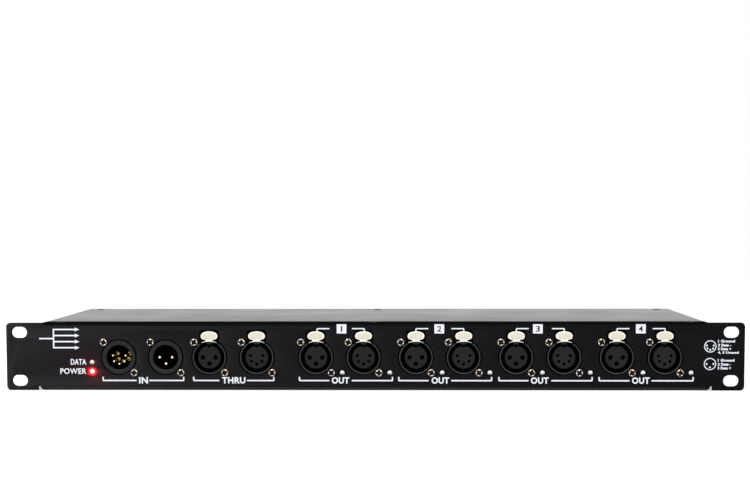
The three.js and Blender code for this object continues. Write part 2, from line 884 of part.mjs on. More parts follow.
// Flat lid, flush with the panel's top flange, with two side walls and the screws that hold it
function topCover() {
  const outerHalf = boxHalf + coverSideGap + coverThickness;
  const wrap = slabAcross(foldedSheet([
    [outerHalf, coverLift],
    [outerHalf, panelHeight],
    [-outerHalf, panelHeight],
    [-outerHalf, coverLift],
  ], coverThickness, coverBendRadius), coverSetback, boxDepth);
  const flangeClearance = boxBetween(
    [-boxHalf - coverSideGap, coverSetback - overrun, panelHeight - coverBendRadius - coverThickness],
    [boxHalf + coverSideGap, coverFlangeDepth + coverSideGap, panelHeight + overrun],
  );
  const earClearance = [-1, 1].map((side) => {
    const ends = [side * boxHalf, side * (outerHalf + overrun)];
    return boxBetween(
      [Math.min(...ends), coverSetback - overrun, 0],
      [Math.max(...ends), sheetThickness + fitGap, panelHeight + overrun],
    );
  });
  const shankEnd = panelHeight - coverScrewShankLength;
  const screws = coverScrewX.flatMap((x) => coverScrewY.map((y) => upright([
    [0, shankEnd],
    [coverScrewShankRadius, shankEnd],
    [coverScrewShankRadius, panelHeight],
    [coverScrewHeadRadius, panelHeight],
    [coverScrewHeadRadius * 0.8, panelHeight + coverScrewHeadHeight],
    [0, panelHeight + coverScrewHeadHeight],
  ], fineFacets, x, y)));
  const sideScrews = [-1, 1].flatMap((side) => sideScrewY.flatMap((y) => [
    crossPin(
      coverScrewHeadRadius,
      coverScrewHeadHeight + coverThickness / 2,
      fineFacets,
      side * (outerHalf + coverScrewHeadHeight / 2 - coverThickness / 4),
      y,
      sideScrewHeight,
    ),
    crossPin(
      coverScrewShankRadius,
      coverScrewShankLength,
      fineFacets,
      side * (outerHalf - coverScrewShankLength / 2),
      y,
      sideScrewHeight,
    ),
  ]));
  const sheet = wrap.subtract(joined([flangeClearance, ...earClearance]));
  return joined([sheet, ...coverLip(), ...screws, ...sideScrews]);
}

// A box standing on a board
function onBoard(x, y, width, depth, height) {
  return boxBetween([x, y, boardTop - boardThickness / 2], [x + width, y + depth, boardTop + height]);
}

const ribbonX = powerBoardLeft + powerBoardWidth / 2 - headerLength / 2;
const connectorHeaderY = boardFront + connectorBoardDepth - headerWidth - partGap / 2;
const powerHeaderY = powerBoardStart + partGap / 2;

function connectorBoard(sockets) {
  const plate = boxBetween(
    [-connectorBoardHalf, boardFront, boardTop - boardThickness],
    [connectorBoardHalf, boardFront + connectorBoardDepth, boardTop],
  );
  const outputs = sockets.filter((socket) => !socket.male);
  const chips = outputs.map((socket) => onBoard(
    socket.x - chipLength / 2,
    boardFront + chipRowStart,
    chipLength,
    chipWidth,
    chipHeight,
  ));
  const threePins = sockets.filter((socket) => socket.pins === 3);
  const converters = threePins.map((socket) => onBoard(
    socket.x - converterLength / 2,
    boardFront + converterRowStart - converterWidth / 2,
    converterLength,
    converterWidth,
    converterHeight,
  ));
  const header = onBoard(ribbonX, connectorHeaderY, headerLength, headerWidth, headerHeight);
  return joined([plate, ...chips, ...converters, header]);
}

function powerBoard() {
  const plate = boxBetween(
    [powerBoardLeft, powerBoardStart, boardTop - boardThickness],
    [powerBoardLeft + powerBoardWidth, powerBoardStart + powerBoardDepth, boardTop],
  );
  const header = onBoard(ribbonX, powerHeaderY, headerLength, headerWidth, headerHeight);
  const terminal = onBoard(
    powerBoardLeft + partGap / 2,
    powerBoardStart + powerBoardDepth / 2 - terminalLength / 2,
    terminalWidth,
    terminalLength,
    terminalHeight,
  );
  return joined([plate, header, terminal]);
}

const transformerX = powerBoardLeft + terminalWidth + partGap * 2 + coreWidth / 2;
const supplyRowY = powerBoardStart + powerBoardDepth - bobbinDepth / 2 - partGap * 2;
const capacitorX = transformerX + coreWidth / 2 + partGap + capacitorRadius;
const heatsinkX = capacitorX + capacitorRadius + partGap;

function supplyTransformer() {
  const core = boxBetween(
    [transformerX - coreWidth / 2, supplyRowY - coreDepth / 2, boardTop],
    [transformerX + coreWidth / 2, supplyRowY + coreDepth / 2, boardTop + coreHeight],
  );
  const bobbin = boxBetween(
    [transformerX - bobbinWidth / 2, supplyRowY - bobbinDepth / 2, boardTop],
    [transformerX + bobbinWidth / 2, supplyRowY + bobbinDepth / 2, boardTop + bobbinHeight],
  );
  return core.add(bobbin);
}

function smoothingCapacitor() {
  const neck = capacitorRadius - capacitorBead;
  return upright([
    [0, boardTop],
    [capacitorRadius, boardTop],
    [capacitorRadius, boardTop + capacitorBead],
    [neck, boardTop + capacitorBead * 2],
    [capacitorRadius, boardTop + capacitorBead * 3],
    [capacitorRadius, boardTop + capacitorHeight - capacitorBead],
    [neck, boardTop + capacitorHeight],
    [0, boardTop + capacitorHeight],
  ], wideFacets, capacitorX, supplyRowY);
}

function heatsink() {
  const near = supplyRowY - heatsinkDepth / 2;
  const back = boxBetween(
    [heatsinkX, near, boardTop],
    [heatsinkX + heatsinkWidth, near + heatsinkBack, boardTop + heatsinkHeight],
  );
  const step = (heatsinkWidth - heatsinkFinThickness) / (heatsinkFinCount - 1);
  const fins = Array.from({ length: heatsinkFinCount }, (_, index) => boxBetween(
    [heatsinkX + index * step, near + heatsinkBack / 2, boardTop],
    [heatsinkX + index * step + heatsinkFinThickness, near + heatsinkDepth, boardTop + heatsinkHeight],
  ));
  return joined([back, ...fins]);
}

function ribbonCable() {
  const low = boardTop + headerHeight;
  const near = connectorHeaderY + headerWidth / 2;
  const far = powerHeaderY + headerWidth / 2;
  const half = ribbonThickness / 2;
  const middle = ribbonX + headerLength / 2;
  return slabAlong(foldedSheet([
    [far + half, low],
    [far + half, low + ribbonRise],
    [near - half, low + ribbonRise],
    [near - half, low],
  ], ribbonThickness, ribbonCorner), middle - ribbonWidth / 2, middle + ribbonWidth / 2);
}

// A lead's route: straight runs between points, with round corners
class LeadRoute extends THREE.Curve {
  constructor(points, bend) {
    super();
    this.path = new THREE.CurvePath();
    let start = points[0];
    for (let index = 1; index < points.length - 1; index += 1) {
      const corner = points[index];
      const next = points[index + 1];
      const reach = Math.min(bend, corner.distanceTo(start) * 0.49, corner.distanceTo(next) * 0.49);
      const entry = corner.clone().addScaledVector(start.clone().sub(corner).normalize(), reach);
      const exit = corner.clone().addScaledVector(next.clone().sub(corner).normalize(), reach);
      this.path.add(new THREE.LineCurve3(start, entry));
      this.path.add(new THREE.QuadraticBezierCurve3(entry, corner, exit));
      start = exit;
    }
    this.path.add(new THREE.LineCurve3(start, points[points.length - 1]));
  }

  getPoint(share, target = new THREE.Vector3()) {
    return target.copy(this.path.getPoint(share));
  }
}

function lead(places, radius, bend) {
  const points = places.map((place) => new THREE.Vector3(...place));
  const section = new THREE.Shape(new THREE.Path().absarc(0, 0, radius, 0, Math.PI * 2)
    .getPoints(leadFacets / 2).slice(1));
  return solidOf(new THREE.ExtrudeGeometry(section, {
    steps: leadSteps,
    bevelEnabled: false,
    extrudePath: new LeadRoute(points, bend),
  }));
}

// One sleeved lead from the inlet to the supply's terminal, with a branch to the switch
function mainsLead() {
  const inletBack = boxDepth - inletBodyDepth - fitGap;
  const switchBack = boxDepth - switchBodyDepth - fitGap;
  const run = inletBack - leadBend * 1.5;
  const height = boardTop + terminalHeight / 2;
  const terminalLeft = powerBoardLeft + partGap / 2 - fitGap;
  const terminalMiddle = powerBoardStart + powerBoardDepth / 2;
  const main = lead([
    [inletX, inletBack, height],
    [inletX, run, height],
    [powerBoardLeft - leadBend, run, height],
    [powerBoardLeft - leadBend, terminalMiddle, height],
    [terminalLeft, terminalMiddle, height],
  ], leadRadius, leadBend / 2);
  const branch = lead([
    [switchX, switchBack, height],
    [switchX, run, height],
  ], leadRadius, leadBend);
  return main.add(branch);
}

const earthStudX = inletX - inletFlangeWidth / 4;
const earthStudY = boxDepth - inletBodyDepth - earthStudInset - leadBend;

function earthStud() {
  return upright([
    [0, sheetThickness],
    [earthNutRadius, sheetThickness],
    [earthNutRadius, sheetThickness + earthNutHeight],
    [earthStudRadius, sheetThickness + earthNutHeight],
    [earthStudRadius, sheetThickness + earthStudHeight],
    [0, sheetThickness + earthStudHeight],
  ], 6, earthStudX, earthStudY);
}

function earthLead() {
  const inletBack = boxDepth - inletBodyDepth - fitGap;
  const height = sheetThickness + earthNutHeight + earthLeadRadius + fitGap;
  const side = earthStudX + earthStudRadius + earthLeadRadius + fitGap;
  return lead([
    [side, inletBack, rearFittingHeight + inletBodyHeight / 4],
    [side, inletBack - leadBend, rearFittingHeight + inletBodyHeight / 4],
    [side, inletBack - leadBend, height],
    [side, earthStudY - earthStudRadius, height],
  ], earthLeadRadius, leadBend / 2);
}

const cavityCentre = inletBodyHeight / 2 - inletCavityWall - inletCavityHeight / 2;
const drawerCentre = -inletBodyHeight / 2 + inletCavityWall + fitGap + drawerHeight / 2;

// Mains inlet in its own frame: y = 0 is the rear wall's outer face, z = 0 its middle
function mainsInlet() {
  const flange = slabAcross(roundedRectangle(
    -inletFlangeWidth / 2,
    -inletFlangeHeight / 2,
    inletFlangeWidth / 2,
    inletFlangeHeight / 2,
    inletFlangeCorner,
  ), 0, inletFlangeThickness);
  const body = boxBetween(
    [-inletBodyWidth / 2, -inletBodyDepth, -inletBodyHeight / 2],
    [inletBodyWidth / 2, inletFlangeThickness / 2, inletBodyHeight / 2],
  );
  const half = inletCavityWidth / 2;
  const low = cavityCentre - inletCavityHeight / 2;
  const high = cavityCentre + inletCavityHeight / 2;
  const cavity = slabAcross(polygonShape([
    [-half, low],
    [half, low],
    [half, high - inletCavityCorner],
    [half - inletCavityCorner, high],
    [-half + inletCavityCorner, high],
    [-half, high - inletCavityCorner],
  ]), inletFlangeThickness - inletCavityDepth, inletFlangeThickness + overrun);
  const drawerSlot = boxBetween(
    [-drawerWidth / 2 - fitGap, -drawerDepth - fitGap, drawerCentre - drawerHeight / 2 - fitGap],
    [drawerWidth / 2 + fitGap, inletFlangeThickness + overrun, drawerCentre + drawerHeight / 2 + fitGap],
  );
  const floor = inletFlangeThickness - inletCavityDepth;
  const blades = [-1, 0, 1].map((place) => {
    const x = place * bladeSpacing;
    const z = cavityCentre + (place === 0 ? bladeOffset : -bladeOffset);
    return boxBetween(
      [x - bladeWidth / 2, floor - overrun, z - bladeHeight / 2],
      [x + bladeWidth / 2, floor + bladeLength, z + bladeHeight / 2],
    );
  });
  return flange.add(body).subtract(cavity.add(drawerSlot)).add(joined(blades));
}

const fuseCentreY = -drawerDepth + drawerWall * 2 + fuseRadius + fitGap;
const fuseCentreZ = drawerCentre - drawerHeight / 2 + drawerWall + fitGap + fuseRadius;

function fuseDrawer() {
  const half = drawerWidth / 2;
  const low = drawerCentre - drawerHeight / 2;
  const high = drawerCentre + drawerHeight / 2;
  const body = boxBetween([-half, -drawerDepth, low], [half, inletFlangeThickness + drawerLip, high]);
  const cradle = boxBetween(
    [-fuseLength / 2 - fitGap, fuseCentreY - fuseRadius - fitGap, low + drawerWall],
    [fuseLength / 2 + fitGap, fuseCentreY + fuseRadius + fitGap, high + overrun],
  );
  const fingerNotch = boxBetween(
    [-half / 3, inletFlangeThickness, low - overrun],
    [half / 3, inletFlangeThickness + drawerLip + overrun, low + drawerHeight / 4],
  );
  return body.subtract(cradle).subtract(fingerNotch);
}

function mainsFuse() {
  const glassRadius = fuseRadius - fuseCapStep;
  const half = fuseLength / 2;
  const points = [
    [0, -half],
    [fuseRadius, -half],
    [fuseRadius, -half + fuseCapLength],
    [glassRadius, -half + fuseCapLength],
    [glassRadius, half - fuseCapLength],
    [fuseRadius, half - fuseCapLength],
    [fuseRadius, half],
    [0, half],
  ].map(([radius, y]) => new THREE.Vector2(radius, y));
  const geometry = new THREE.LatheGeometry(points, smallFacets);
  geometry.rotateZ(Math.PI / 2);
  geometry.translate(0, fuseCentreY, fuseCentreZ);
  return solidOf(geometry);
}

const rockerCavityHalfWidth = switchBodyWidth / 2 - switchWall;
const rockerCavityHalfHeight = switchBodyHeight / 2 - switchWall;
const rockerHalfWidth = rockerCavityHalfWidth - fitGap;

// Rocker switch in its own frame: y = 0 is the rear wall's outer face, z = 0 its middle
function switchBody() {
  const bezel = boxBetween(
    [-switchBezelWidth / 2, 0, -switchBezelHeight / 2],
    [switchBezelWidth / 2, switchBezelThickness, switchBezelHeight / 2],
  );
  const body = boxBetween(
    [-switchBodyWidth / 2, -switchBodyDepth, -switchBodyHeight / 2],
    [switchBodyWidth / 2, switchBezelThickness / 2, switchBodyHeight / 2],
  );
  const cavity = boxBetween(
    [-rockerCavityHalfWidth, -switchCavityDepth, -rockerCavityHalfHeight],
    [rockerCavityHalfWidth, switchBezelThickness + overrun, rockerCavityHalfHeight],
  );
  const pinHole = crossPin(
    rockerPinRadius + fitGap,
    switchBodyWidth + overrun,
    smallFacets,
    0,
    -rockerPivotDepth,
    0,
  );
  return bezel.add(body).subtract(cavity).subtract(pinHole);
}

// The rocker about its own pivot: y = 0 and z = 0 are the pin's axis
function switchRocker() {
  const half = rockerHeight / 2;
  const face = rockerProud + rockerPivotDepth;
  const tip = face + half * Math.tan(THREE.MathUtils.degToRad(rockerSwing));
  const belly = rockerBellyDepth - rockerPivotDepth;
  const body = slabAlong(polygonShape([
    [face, 0],
    [tip, half],
    [0, half],
    [-belly, half * 0.8],
    [-belly, -half * 0.8],
    [0, -half],
    [tip, -half],
  ]), -rockerHalfWidth, rockerHalfWidth);
  const pin = crossPin(rockerPinRadius, switchBodyWidth - switchWall / 2, smallFacets, 0, 0, 0);
  return body.add(pin);
}

// The assembly
const sockets = socketRow();
const lamps = lampRow(sockets);
const unit = new THREE.Group();
unit.add(meshOf("chassis_tray", chassisTray(sockets, lamps), materials.tray));
unit.add(meshOf("top_cover", topCover(), materials.cover));

const solids = {
  maleShell: maleShell(),
  femaleShell: femaleShell(),
  latch: latch(),
  inserts: { 3: femaleInsert(3), 5: femaleInsert(5) },
  carriers: { 3: maleCarrier(3), 5: maleCarrier(5) },
};
for (const socket of sockets) {
  const shell = socket.male ? solids.maleShell : solids.femaleShell;
  const group = groupAt(socket.x, 0, socketHeight, meshOf(`${socket.name}_shell`, shell, materials.shell));
  if (socket.male) {
    group.add(meshOf(`${socket.name}_pins`, solids.carriers[socket.pins], materials.gold));
  } else {
    group.add(meshOf(`${socket.name}_insert`, solids.inserts[socket.pins], materials.insert));
    group.add(meshOf(`${socket.name}_latch`, solids.latch, materials.latch));
  }
  unit.add(group);
}
for (const place of lamps) {
  const material = place.lit ? materials.lampOn : materials.lamp;
  const body = lamp(place.z, place.reach);
  unit.add(groupAt(place.x, 0, place.z, meshOf(place.name, body, material)));
}

unit.add(meshOf("connector_board", connectorBoard(sockets), materials.board));
unit.add(meshOf("power_board", powerBoard(), materials.board));
unit.add(meshOf("supply_transformer", supplyTransformer(), materials.core));
unit.add(meshOf("smoothing_capacitor", smoothingCapacitor(), materials.capacitor));
unit.add(meshOf("heatsink", heatsink(), materials.heatsink));
unit.add(meshOf("ribbon_cable", ribbonCable(), materials.ribbon));
unit.add(meshOf("mains_lead", mainsLead(), materials.plastic));
unit.add(meshOf("earth_lead", earthLead(), materials.earthLead));
unit.add(meshOf("earth_stud", earthStud(), materials.steel));
unit.add(groupAt(
  inletX,
  boxDepth,
  rearFittingHeight,
  meshOf("mains_inlet", mainsInlet(), materials.plastic),
  meshOf("fuse_drawer", fuseDrawer(), materials.plastic),
  meshOf("mains_fuse", mainsFuse(), materials.glass),
));
const rocker = groupAt(0, -rockerPivotDepth, 0, meshOf("switch_rocker", switchRocker(), materials.plastic));
rocker.rotation.x = THREE.MathUtils.degToRad(rockerSwing);
unit.add(groupAt(
  switchX,
  boxDepth,
  rearFittingHeight,
  meshOf("switch_body", switchBody(), materials.plastic),
  rocker,
));

// The origin is the middle of the underside
const splitter = new THREE.Group();
splitter.name = "dmx_splitter";
splitter.add(unit);
splitter.updateMatrixWorld(true);
const bounds = new THREE.Box3().setFromObject(unit, true);
unit.position.set(
  -(bounds.min.x + bounds.max.x) / 2,
  -(bounds.min.y + bounds.max.y) / 2,
  -bounds.min.z,
);
splitter.updateMatrixWorld(true);

export default splitter;
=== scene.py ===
"""Dressed model of a one-unit rack splitter for stage-lighting data.

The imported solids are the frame. This script lays detailed pieces over them, finishes every
piece with node materials, and sets the pale studio and the camera of the reference view.
Lengths are in millimetres of the unit's own frame: x to the right, y back from the panel's
front face and z up from the underside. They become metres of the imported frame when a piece
is fitted.
"""

import sys

import logging
import math
from dataclasses import dataclass, field, replace
from enum import Enum

import bmesh
import bpy
import numpy as np
from mathutils import Matrix, Vector
from mathutils.geometry import tessellate_polygon


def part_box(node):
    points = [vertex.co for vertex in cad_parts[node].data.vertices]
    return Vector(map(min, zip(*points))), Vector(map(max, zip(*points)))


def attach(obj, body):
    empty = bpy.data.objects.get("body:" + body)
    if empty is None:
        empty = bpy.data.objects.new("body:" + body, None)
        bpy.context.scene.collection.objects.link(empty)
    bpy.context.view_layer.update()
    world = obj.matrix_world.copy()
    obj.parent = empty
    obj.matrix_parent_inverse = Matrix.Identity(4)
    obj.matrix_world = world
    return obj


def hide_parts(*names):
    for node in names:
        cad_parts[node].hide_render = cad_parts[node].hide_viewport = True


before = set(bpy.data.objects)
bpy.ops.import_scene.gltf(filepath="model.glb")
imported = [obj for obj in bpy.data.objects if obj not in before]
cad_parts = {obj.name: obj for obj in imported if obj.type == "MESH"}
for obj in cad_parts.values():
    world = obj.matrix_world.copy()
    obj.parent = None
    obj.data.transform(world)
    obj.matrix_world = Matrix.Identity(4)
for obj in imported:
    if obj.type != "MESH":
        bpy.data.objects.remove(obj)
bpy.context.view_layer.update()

Array = np.ndarray
Colour = tuple[float, float, float]

log = logging.getLogger("splitter")

METRE = 0.001
ROOT = "chassis"
SMOOTH_ANGLE = math.radians(34)
PANEL_HALF = 241.3
BOX_HALF = 216.7
PANEL_HEIGHT = 44.4
BOX_DEPTH = 140.0
COVER_SHEET = 1.0
REAR_HEIGHT = PANEL_HEIGHT - COVER_SHEET
FLANGE = 12.0
SHEET = 1.5
BEND = 1.9
SOCKET_Z = 21.6
LAMP_Z = 11.6
LAMP_OFFSET = 17.127
FIRST_OUT_X = -37.63
OUT_PITCH = 65.34
PAIR_PITCH = 31.14
SIGHT_Z = 22.4
HOLE_RADIUS = 11.75
INK_SINK = 0.01
DUST_GREY = (0.42, 0.42, 0.41)


class Axis(Enum):
    """The way in which a flat outline is given its depth."""

    X = "x"
    Y = "y"
    Z = "z"


class Contacts(Enum):
    """How many contacts a round socket has."""

    THREE = 3
    FIVE = 5


# Outlines and profiles


def circle(radius: float, count: int, x: float = 0.0, z: float = 0.0) -> Array:
    """Points spaced evenly round a circle.

    Args:
        radius: Radius of the circle.
        count: Number of points.
        x: Centre, first coordinate.
        z: Centre, second coordinate.

    Returns:
        Array of shape (count, 2), anticlockwise.
    """
    angle = np.arange(count) * (2 * np.pi / count)
    return np.stack([x + radius * np.cos(angle), z + radius * np.sin(angle)], axis=1)


def rounded(corners: Array, radii: float | Array, steps: int = 4, closed: bool = True) -> Array:
    """A corner list with each corner replaced by a circular arc.

    The arc of a corner p with unit directions a and b to its neighbours has its centre on their
    bisector, and its points are the spherical blend of the two spokes of the arc.

    Args:
        corners: Array (n, 2) of corners in order.
        radii: One radius, or one for each corner.
        steps: Number of chords in each arc.
        closed: True for a loop, False for a path whose ends stay sharp.

    Returns:
        Array (m, 2) of points without doubles.
    """
    corners = np.asarray(corners, float)
    radii = np.broadcast_to(np.asarray(radii, float), (len(corners),)).copy()
    if not closed:
        radii[[0, -1]] = 0.0
    before = np.roll(corners, 1, axis=0) - corners
    after = np.roll(corners, -1, axis=0) - corners
    before /= np.maximum(np.linalg.norm(before, axis=1, keepdims=True), 1e-9)
    after /= np.maximum(np.linalg.norm(after, axis=1, keepdims=True), 1e-9)
    half = np.arccos(np.clip((before * after).sum(1), -1, 1)) / 2
    turn = np.maximum(np.pi - 2 * half, 1e-4)
    reach = (radii / np.maximum(np.tan(half), 1e-6))[:, None]
    bisector = before + after
    bisector /= np.maximum(np.linalg.norm(bisector, axis=1, keepdims=True), 1e-9)
    centre = corners + bisector * (radii / np.maximum(np.sin(half), 1e-6))[:, None]
    first = corners + before * reach - centre
    last = corners + after * reach - centre
    share = np.linspace(0, 1, steps + 1)[None, :, None]
    swing = turn[:, None, None]
    blend = (np.sin((1 - share) * swing) * first[:, None] + np.sin(share * swing) * last[:, None])
    points = (centre[:, None] + blend / np.sin(swing)).reshape(-1, 2)
    gap = np.linalg.norm(points - np.roll(points, 1, axis=0), axis=1)
    keep = gap > 1e-5
    if not closed:
        keep[0] = True
    return points[keep]


def rectangle(left: float, bottom: float, right: float, top: float, radius: float = 0.0) -> Array:
    """A rectangle's outline with round corners, anticlockwise."""
    corners = np.array([[left, bottom], [right, bottom], [right, top], [left, top]])
    return rounded(corners, radius) if radius else corners


def signed_area(loop: Array) -> float:
    """Half the sum of the cross products of neighbouring points: positive if anticlockwise."""
    after = np.roll(loop, -1, axis=0)
    return float((loop[:, 0] * after[:, 1] - after[:, 0] * loop[:, 1]).sum() / 2)


def inset(loop: Array, amount: float | Array) -> Array:
    """A loop moved to its own left by an amount.

    Each point moves along the mitre of its two edges' left normals, n1 plus n2 divided by one
    plus their dot product, so that straight edges move by exactly the amount.

    Args:
        loop: Array (n, 2).
        amount: One distance, or one for each point.

    Returns:
        Array (n, 2).
    """
    edge = np.roll(loop, -1, axis=0) - loop
    edge /= np.maximum(np.linalg.norm(edge, axis=1, keepdims=True), 1e-9)
    left = np.stack([-edge[:, 1], edge[:, 0]], axis=1)
    behind = np.roll(left, 1, axis=0)
    spread = np.maximum(1 + (left * behind).sum(1), 0.35)
    return loop + (left + behind) / spread[:, None] * np.reshape(amount, (-1, 1))


def stroke(path: Array, width: float) -> Array:
    """The outline of a line of constant width drawn along an open path.

    Args:
        path: Array (n, 2) of the line's middle.
        width: Width of the line.

    Returns:
        Array (2n, 2), a closed loop round the line.
    """
    path = np.asarray(path, float)
    edge = np.diff(path, axis=0)
    edge /= np.linalg.norm(edge, axis=1, keepdims=True)
    normal = np.stack([-edge[:, 1], edge[:, 0]], axis=1)
    ahead = np.vstack([normal, normal[-1:]])
    behind = np.vstack([normal[:1], normal])
    side = (ahead + behind) / (1 + (ahead * behind).sum(1))[:, None] * width / 2
    return np.vstack([path + side, (path - side)[::-1]])


def folded(corners: Array, thickness: float, radius: float, steps: int = 10) -> Array:
    """The outline of a bent sheet whose outer corners are given, each bent to the left.

    Args:
        corners: Array (n, 2), the outer line's corners in order.
        thickness: Thickness of the sheet.
        radius: Outer bend radius.
        steps: Number of chords in each bend.

    Returns:
        Array (m, 2), the outer line followed by the inner line backwards.
    """
    corners = np.asarray(corners, float)
    edge = np.diff(corners, axis=0)
    edge /= np.linalg.norm(edge, axis=1, keepdims=True)
    left = np.stack([-edge[:, 1], edge[:, 0]], axis=1)
    ahead = np.vstack([left, left[-1:]])
    behind = np.vstack([left[:1], left])
    shift = (ahead + behind) / (1 + (ahead * behind).sum(1))[:, None] * thickness
    outer = rounded(corners, radius, steps, closed=False)
    inner = rounded(corners + shift, max(radius - thickness, 0.05), steps, closed=False)
    return np.vstack([outer, inner[::-1]])


# Forms


@dataclass
class Form:
    """Vertices and faces of one piece, in millimetres of the unit's frame."""

    points: list[Array] = field(default_factory=list)
    marks: list[Array] = field(default_factory=list)
    faces: list[list[int]] = field(default_factory=list)
    size: int = 0

    def add(self, points: Array, faces: list[list[int]], mark: Array | float = 0.0) -> None:
        """Adds a shell whose faces count from its own first point.

        Args:
            points: Array (n, 3).
            faces: Lists of indices into points.
            mark: A value for each point, which a material may read.
        """
        points = points.reshape(-1, 3)
        self.points.append(points)
        self.marks.append(np.broadcast_to(np.asarray(mark, float).reshape(-1), (len(points),)))
        self.faces += [[index + self.size for index in face] for face in faces]
        self.size += len(points)

    def loft(self, rows: Array, ring: bool = False, mark: Array | float = 0.0) -> None:
        """A skin over closed rows: point (i, j) joins (i + 1, j) and (i, j + 1), and j wraps.

        Args:
            rows: Array (m, n, 3), each row a closed loop.
            ring: True if the last row joins the first, False if both ends are capped.
            mark: A value for each point.
        """
        m, n = rows.shape[:2]
        index = np.arange(m * n).reshape(m, n)
        low = index if ring else index[:-1]
        high = np.roll(index, -1, axis=0) if ring else index[1:]
        quads = np.stack([low, np.roll(low, -1, 1), np.roll(high, -1, 1), high], axis=-1)
        faces = quads.reshape(-1, 4).tolist()
        if not ring:
            faces += [index[0].tolist(), index[-1].tolist()]
        self.add(rows, faces, mark)

    def turned(
        self,
        profile: Array,
        x: float,
        z: float,
        around: int = 64,
        ring: bool = False,
        mark: Array | float = 0.0,
    ) -> None:
        """A profile turned about an axis along y: (r, y) becomes (x + r sin t, y, z + r cos t).

        Args:
            profile: Array (m, 2) of radius and depth.
            x: Axis place.
            z: Axis place.
            around: Number of steps in the turn.
            ring: True if the profile is a closed loop.
            mark: A value for each point.
        """
        profile = np.asarray(profile, float)
        angle = np.arange(around) * (2 * np.pi / around)
        radius, depth = profile[:, :1], profile[:, 1:]
        rows = np.stack([
            x + radius * np.sin(angle),
            depth + 0 * angle,
            z + radius * np.cos(angle),
        ], axis=-1)
        self.loft(rows, ring, mark)

    def arc(
        self,
        profile: Array,
        x: float,
        z: float,
        first: float,
        last: float,
        steps: int,
        mark: Array | float = 0.0,
    ) -> None:
        """A closed profile of radius and depth swept through part of a turn about y.

        Args:
            profile: Array (m, 2), a closed loop.
            x: Axis place.
            z: Axis place.
            first: Start angle from the top, clockwise, in radians.
            last: End angle.
            steps: Number of steps between them.
            mark: A value for all points, or one for each point of each copy of the profile.
        """
        profile = np.asarray(profile, float)
        angle = np.linspace(first, last, steps + 1)[:, None]
        radius, depth = profile[None, :, 0], profile[None, :, 1]
        rows = np.stack([
            x + radius * np.sin(angle),
            depth + 0 * angle,
            z + radius * np.cos(angle),
        ], axis=-1)
        self.loft(rows, mark=mark)

    def slab(
        self,
        outline: Array,
        start: float,
        end: float,
        axis: Axis = Axis.Y,
        holes: tuple[Array, ...] | list[Array] = (),
        rim: float = 0.0,
        hole_rim: float | None = None,
        soft: Array | float = 1.0,
        steps: int = 3,
        mark: float = 0.0,
    ) -> None:
        """A flat outline with holes, given depth along an axis, with rolled edges.

        A rolled edge of radius r goes through the points inset by r (1 - sin t) at the depth
        r (1 - cos t), for t from nought to a quarter turn.

        Args:
            outline: Array (n, 2).
            start: Depth of the first face.
            end: Depth of the second face.
            axis: Direction of the depth.
            holes: Loops cut through.
            rim: Radius of the outline's rolled edge.
            hole_rim: Radius of the holes' rolled edge, or None for the outline's.
            soft: Share of the rim at each outline point.
            steps: Chords in a rolled edge.
            mark: One value for all points.
        """
        hole_rim = rim if hole_rim is None else hole_rim
        bend = np.linspace(0, np.pi / 2, steps + 1)
        way = 1.0 if end >= start else -1.0
        points: list[Array] = []
        faces: list[list[int]] = []
        count = 0
        loops = [(np.asarray(outline, float), rim, soft)]
        loops += [(np.asarray(hole, float), hole_rim, 1.0) for hole in holes]
        ends: tuple[list[Array], list[Array]] = ([], [])
        flats: tuple[list[Array], list[Array]] = ([], [])
        for place, (loop, radius, share) in enumerate(loops):
            if (signed_area(loop) > 0) != (place == 0):
                loop = loop[::-1]
                share = share[::-1] if isinstance(share, np.ndarray) else share
            share = np.broadcast_to(np.asarray(share, float), (len(loop),))
            if radius:
                insets = radius * (1 - np.sin(bend))
                depths = radius * (1 - np.cos(bend))
            else:
                insets, depths = np.zeros(1), np.zeros(1)
            flat = [inset(loop, step * share) for step in insets]
            loops_at = np.stack(flat + flat[::-1])
            levels = np.concatenate([start + way * depths, end - way * depths[::-1]])
            rows = self.lifted(
                loops_at, np.broadcast_to(levels[:, None], loops_at.shape[:2]), axis)
            m, n = rows.shape[:2]
            index = count + np.arange(m * n).reshape(m, n)
            low, high = index[:-1], index[1:]
            quads = np.stack([low, np.roll(low, -1, 1), np.roll(high, -1, 1), high], axis=-1)
            faces += quads.reshape(-1, 4).tolist()
            points.append(rows.reshape(-1, 3))
            ends[0].append(index[0])
            ends[1].append(index[-1])
            flats[0].append(loops_at[0])
            flats[1].append(loops_at[-1])
            count += m * n
        for side in (0, 1):
            lookup = np.concatenate(ends[side])
            outline_vectors = [[Vector((a, b, 0.0)) for a, b in flat] for flat in flats[side]]
            triangles = np.array(tessellate_polygon(outline_vectors), int).reshape(-1, 3)
            faces += lookup[triangles].tolist()
        self.add(np.concatenate(points), faces, mark)

    @staticmethod
    def lifted(flat: Array, depth: Array, axis: Axis) -> Array:
        """Puts outline coordinates (a, b) and a depth in their places in x, y and z.

        Args:
            flat: Array (..., 2) of a and b.
            depth: Array (...) of depths.
            axis: Direction of the depth.

        Returns:
            Array (..., 3).
        """
        a, b = flat[..., 0], flat[..., 1]
        order = {Axis.X: (depth, a, b), Axis.Y: (a, depth, b), Axis.Z: (a, b, depth)}[axis]
        return np.stack(order, axis=-1)

    def block(self, low: tuple, high: tuple, rim: float = 0.0, mark: float = 0.0) -> None:
        """A box between two corners, with rolled edges on the faces that look along y."""
        outline = rectangle(low[0], low[2], high[0], high[2], rim)
        self.slab(outline, low[1], high[1], rim=rim, mark=mark)


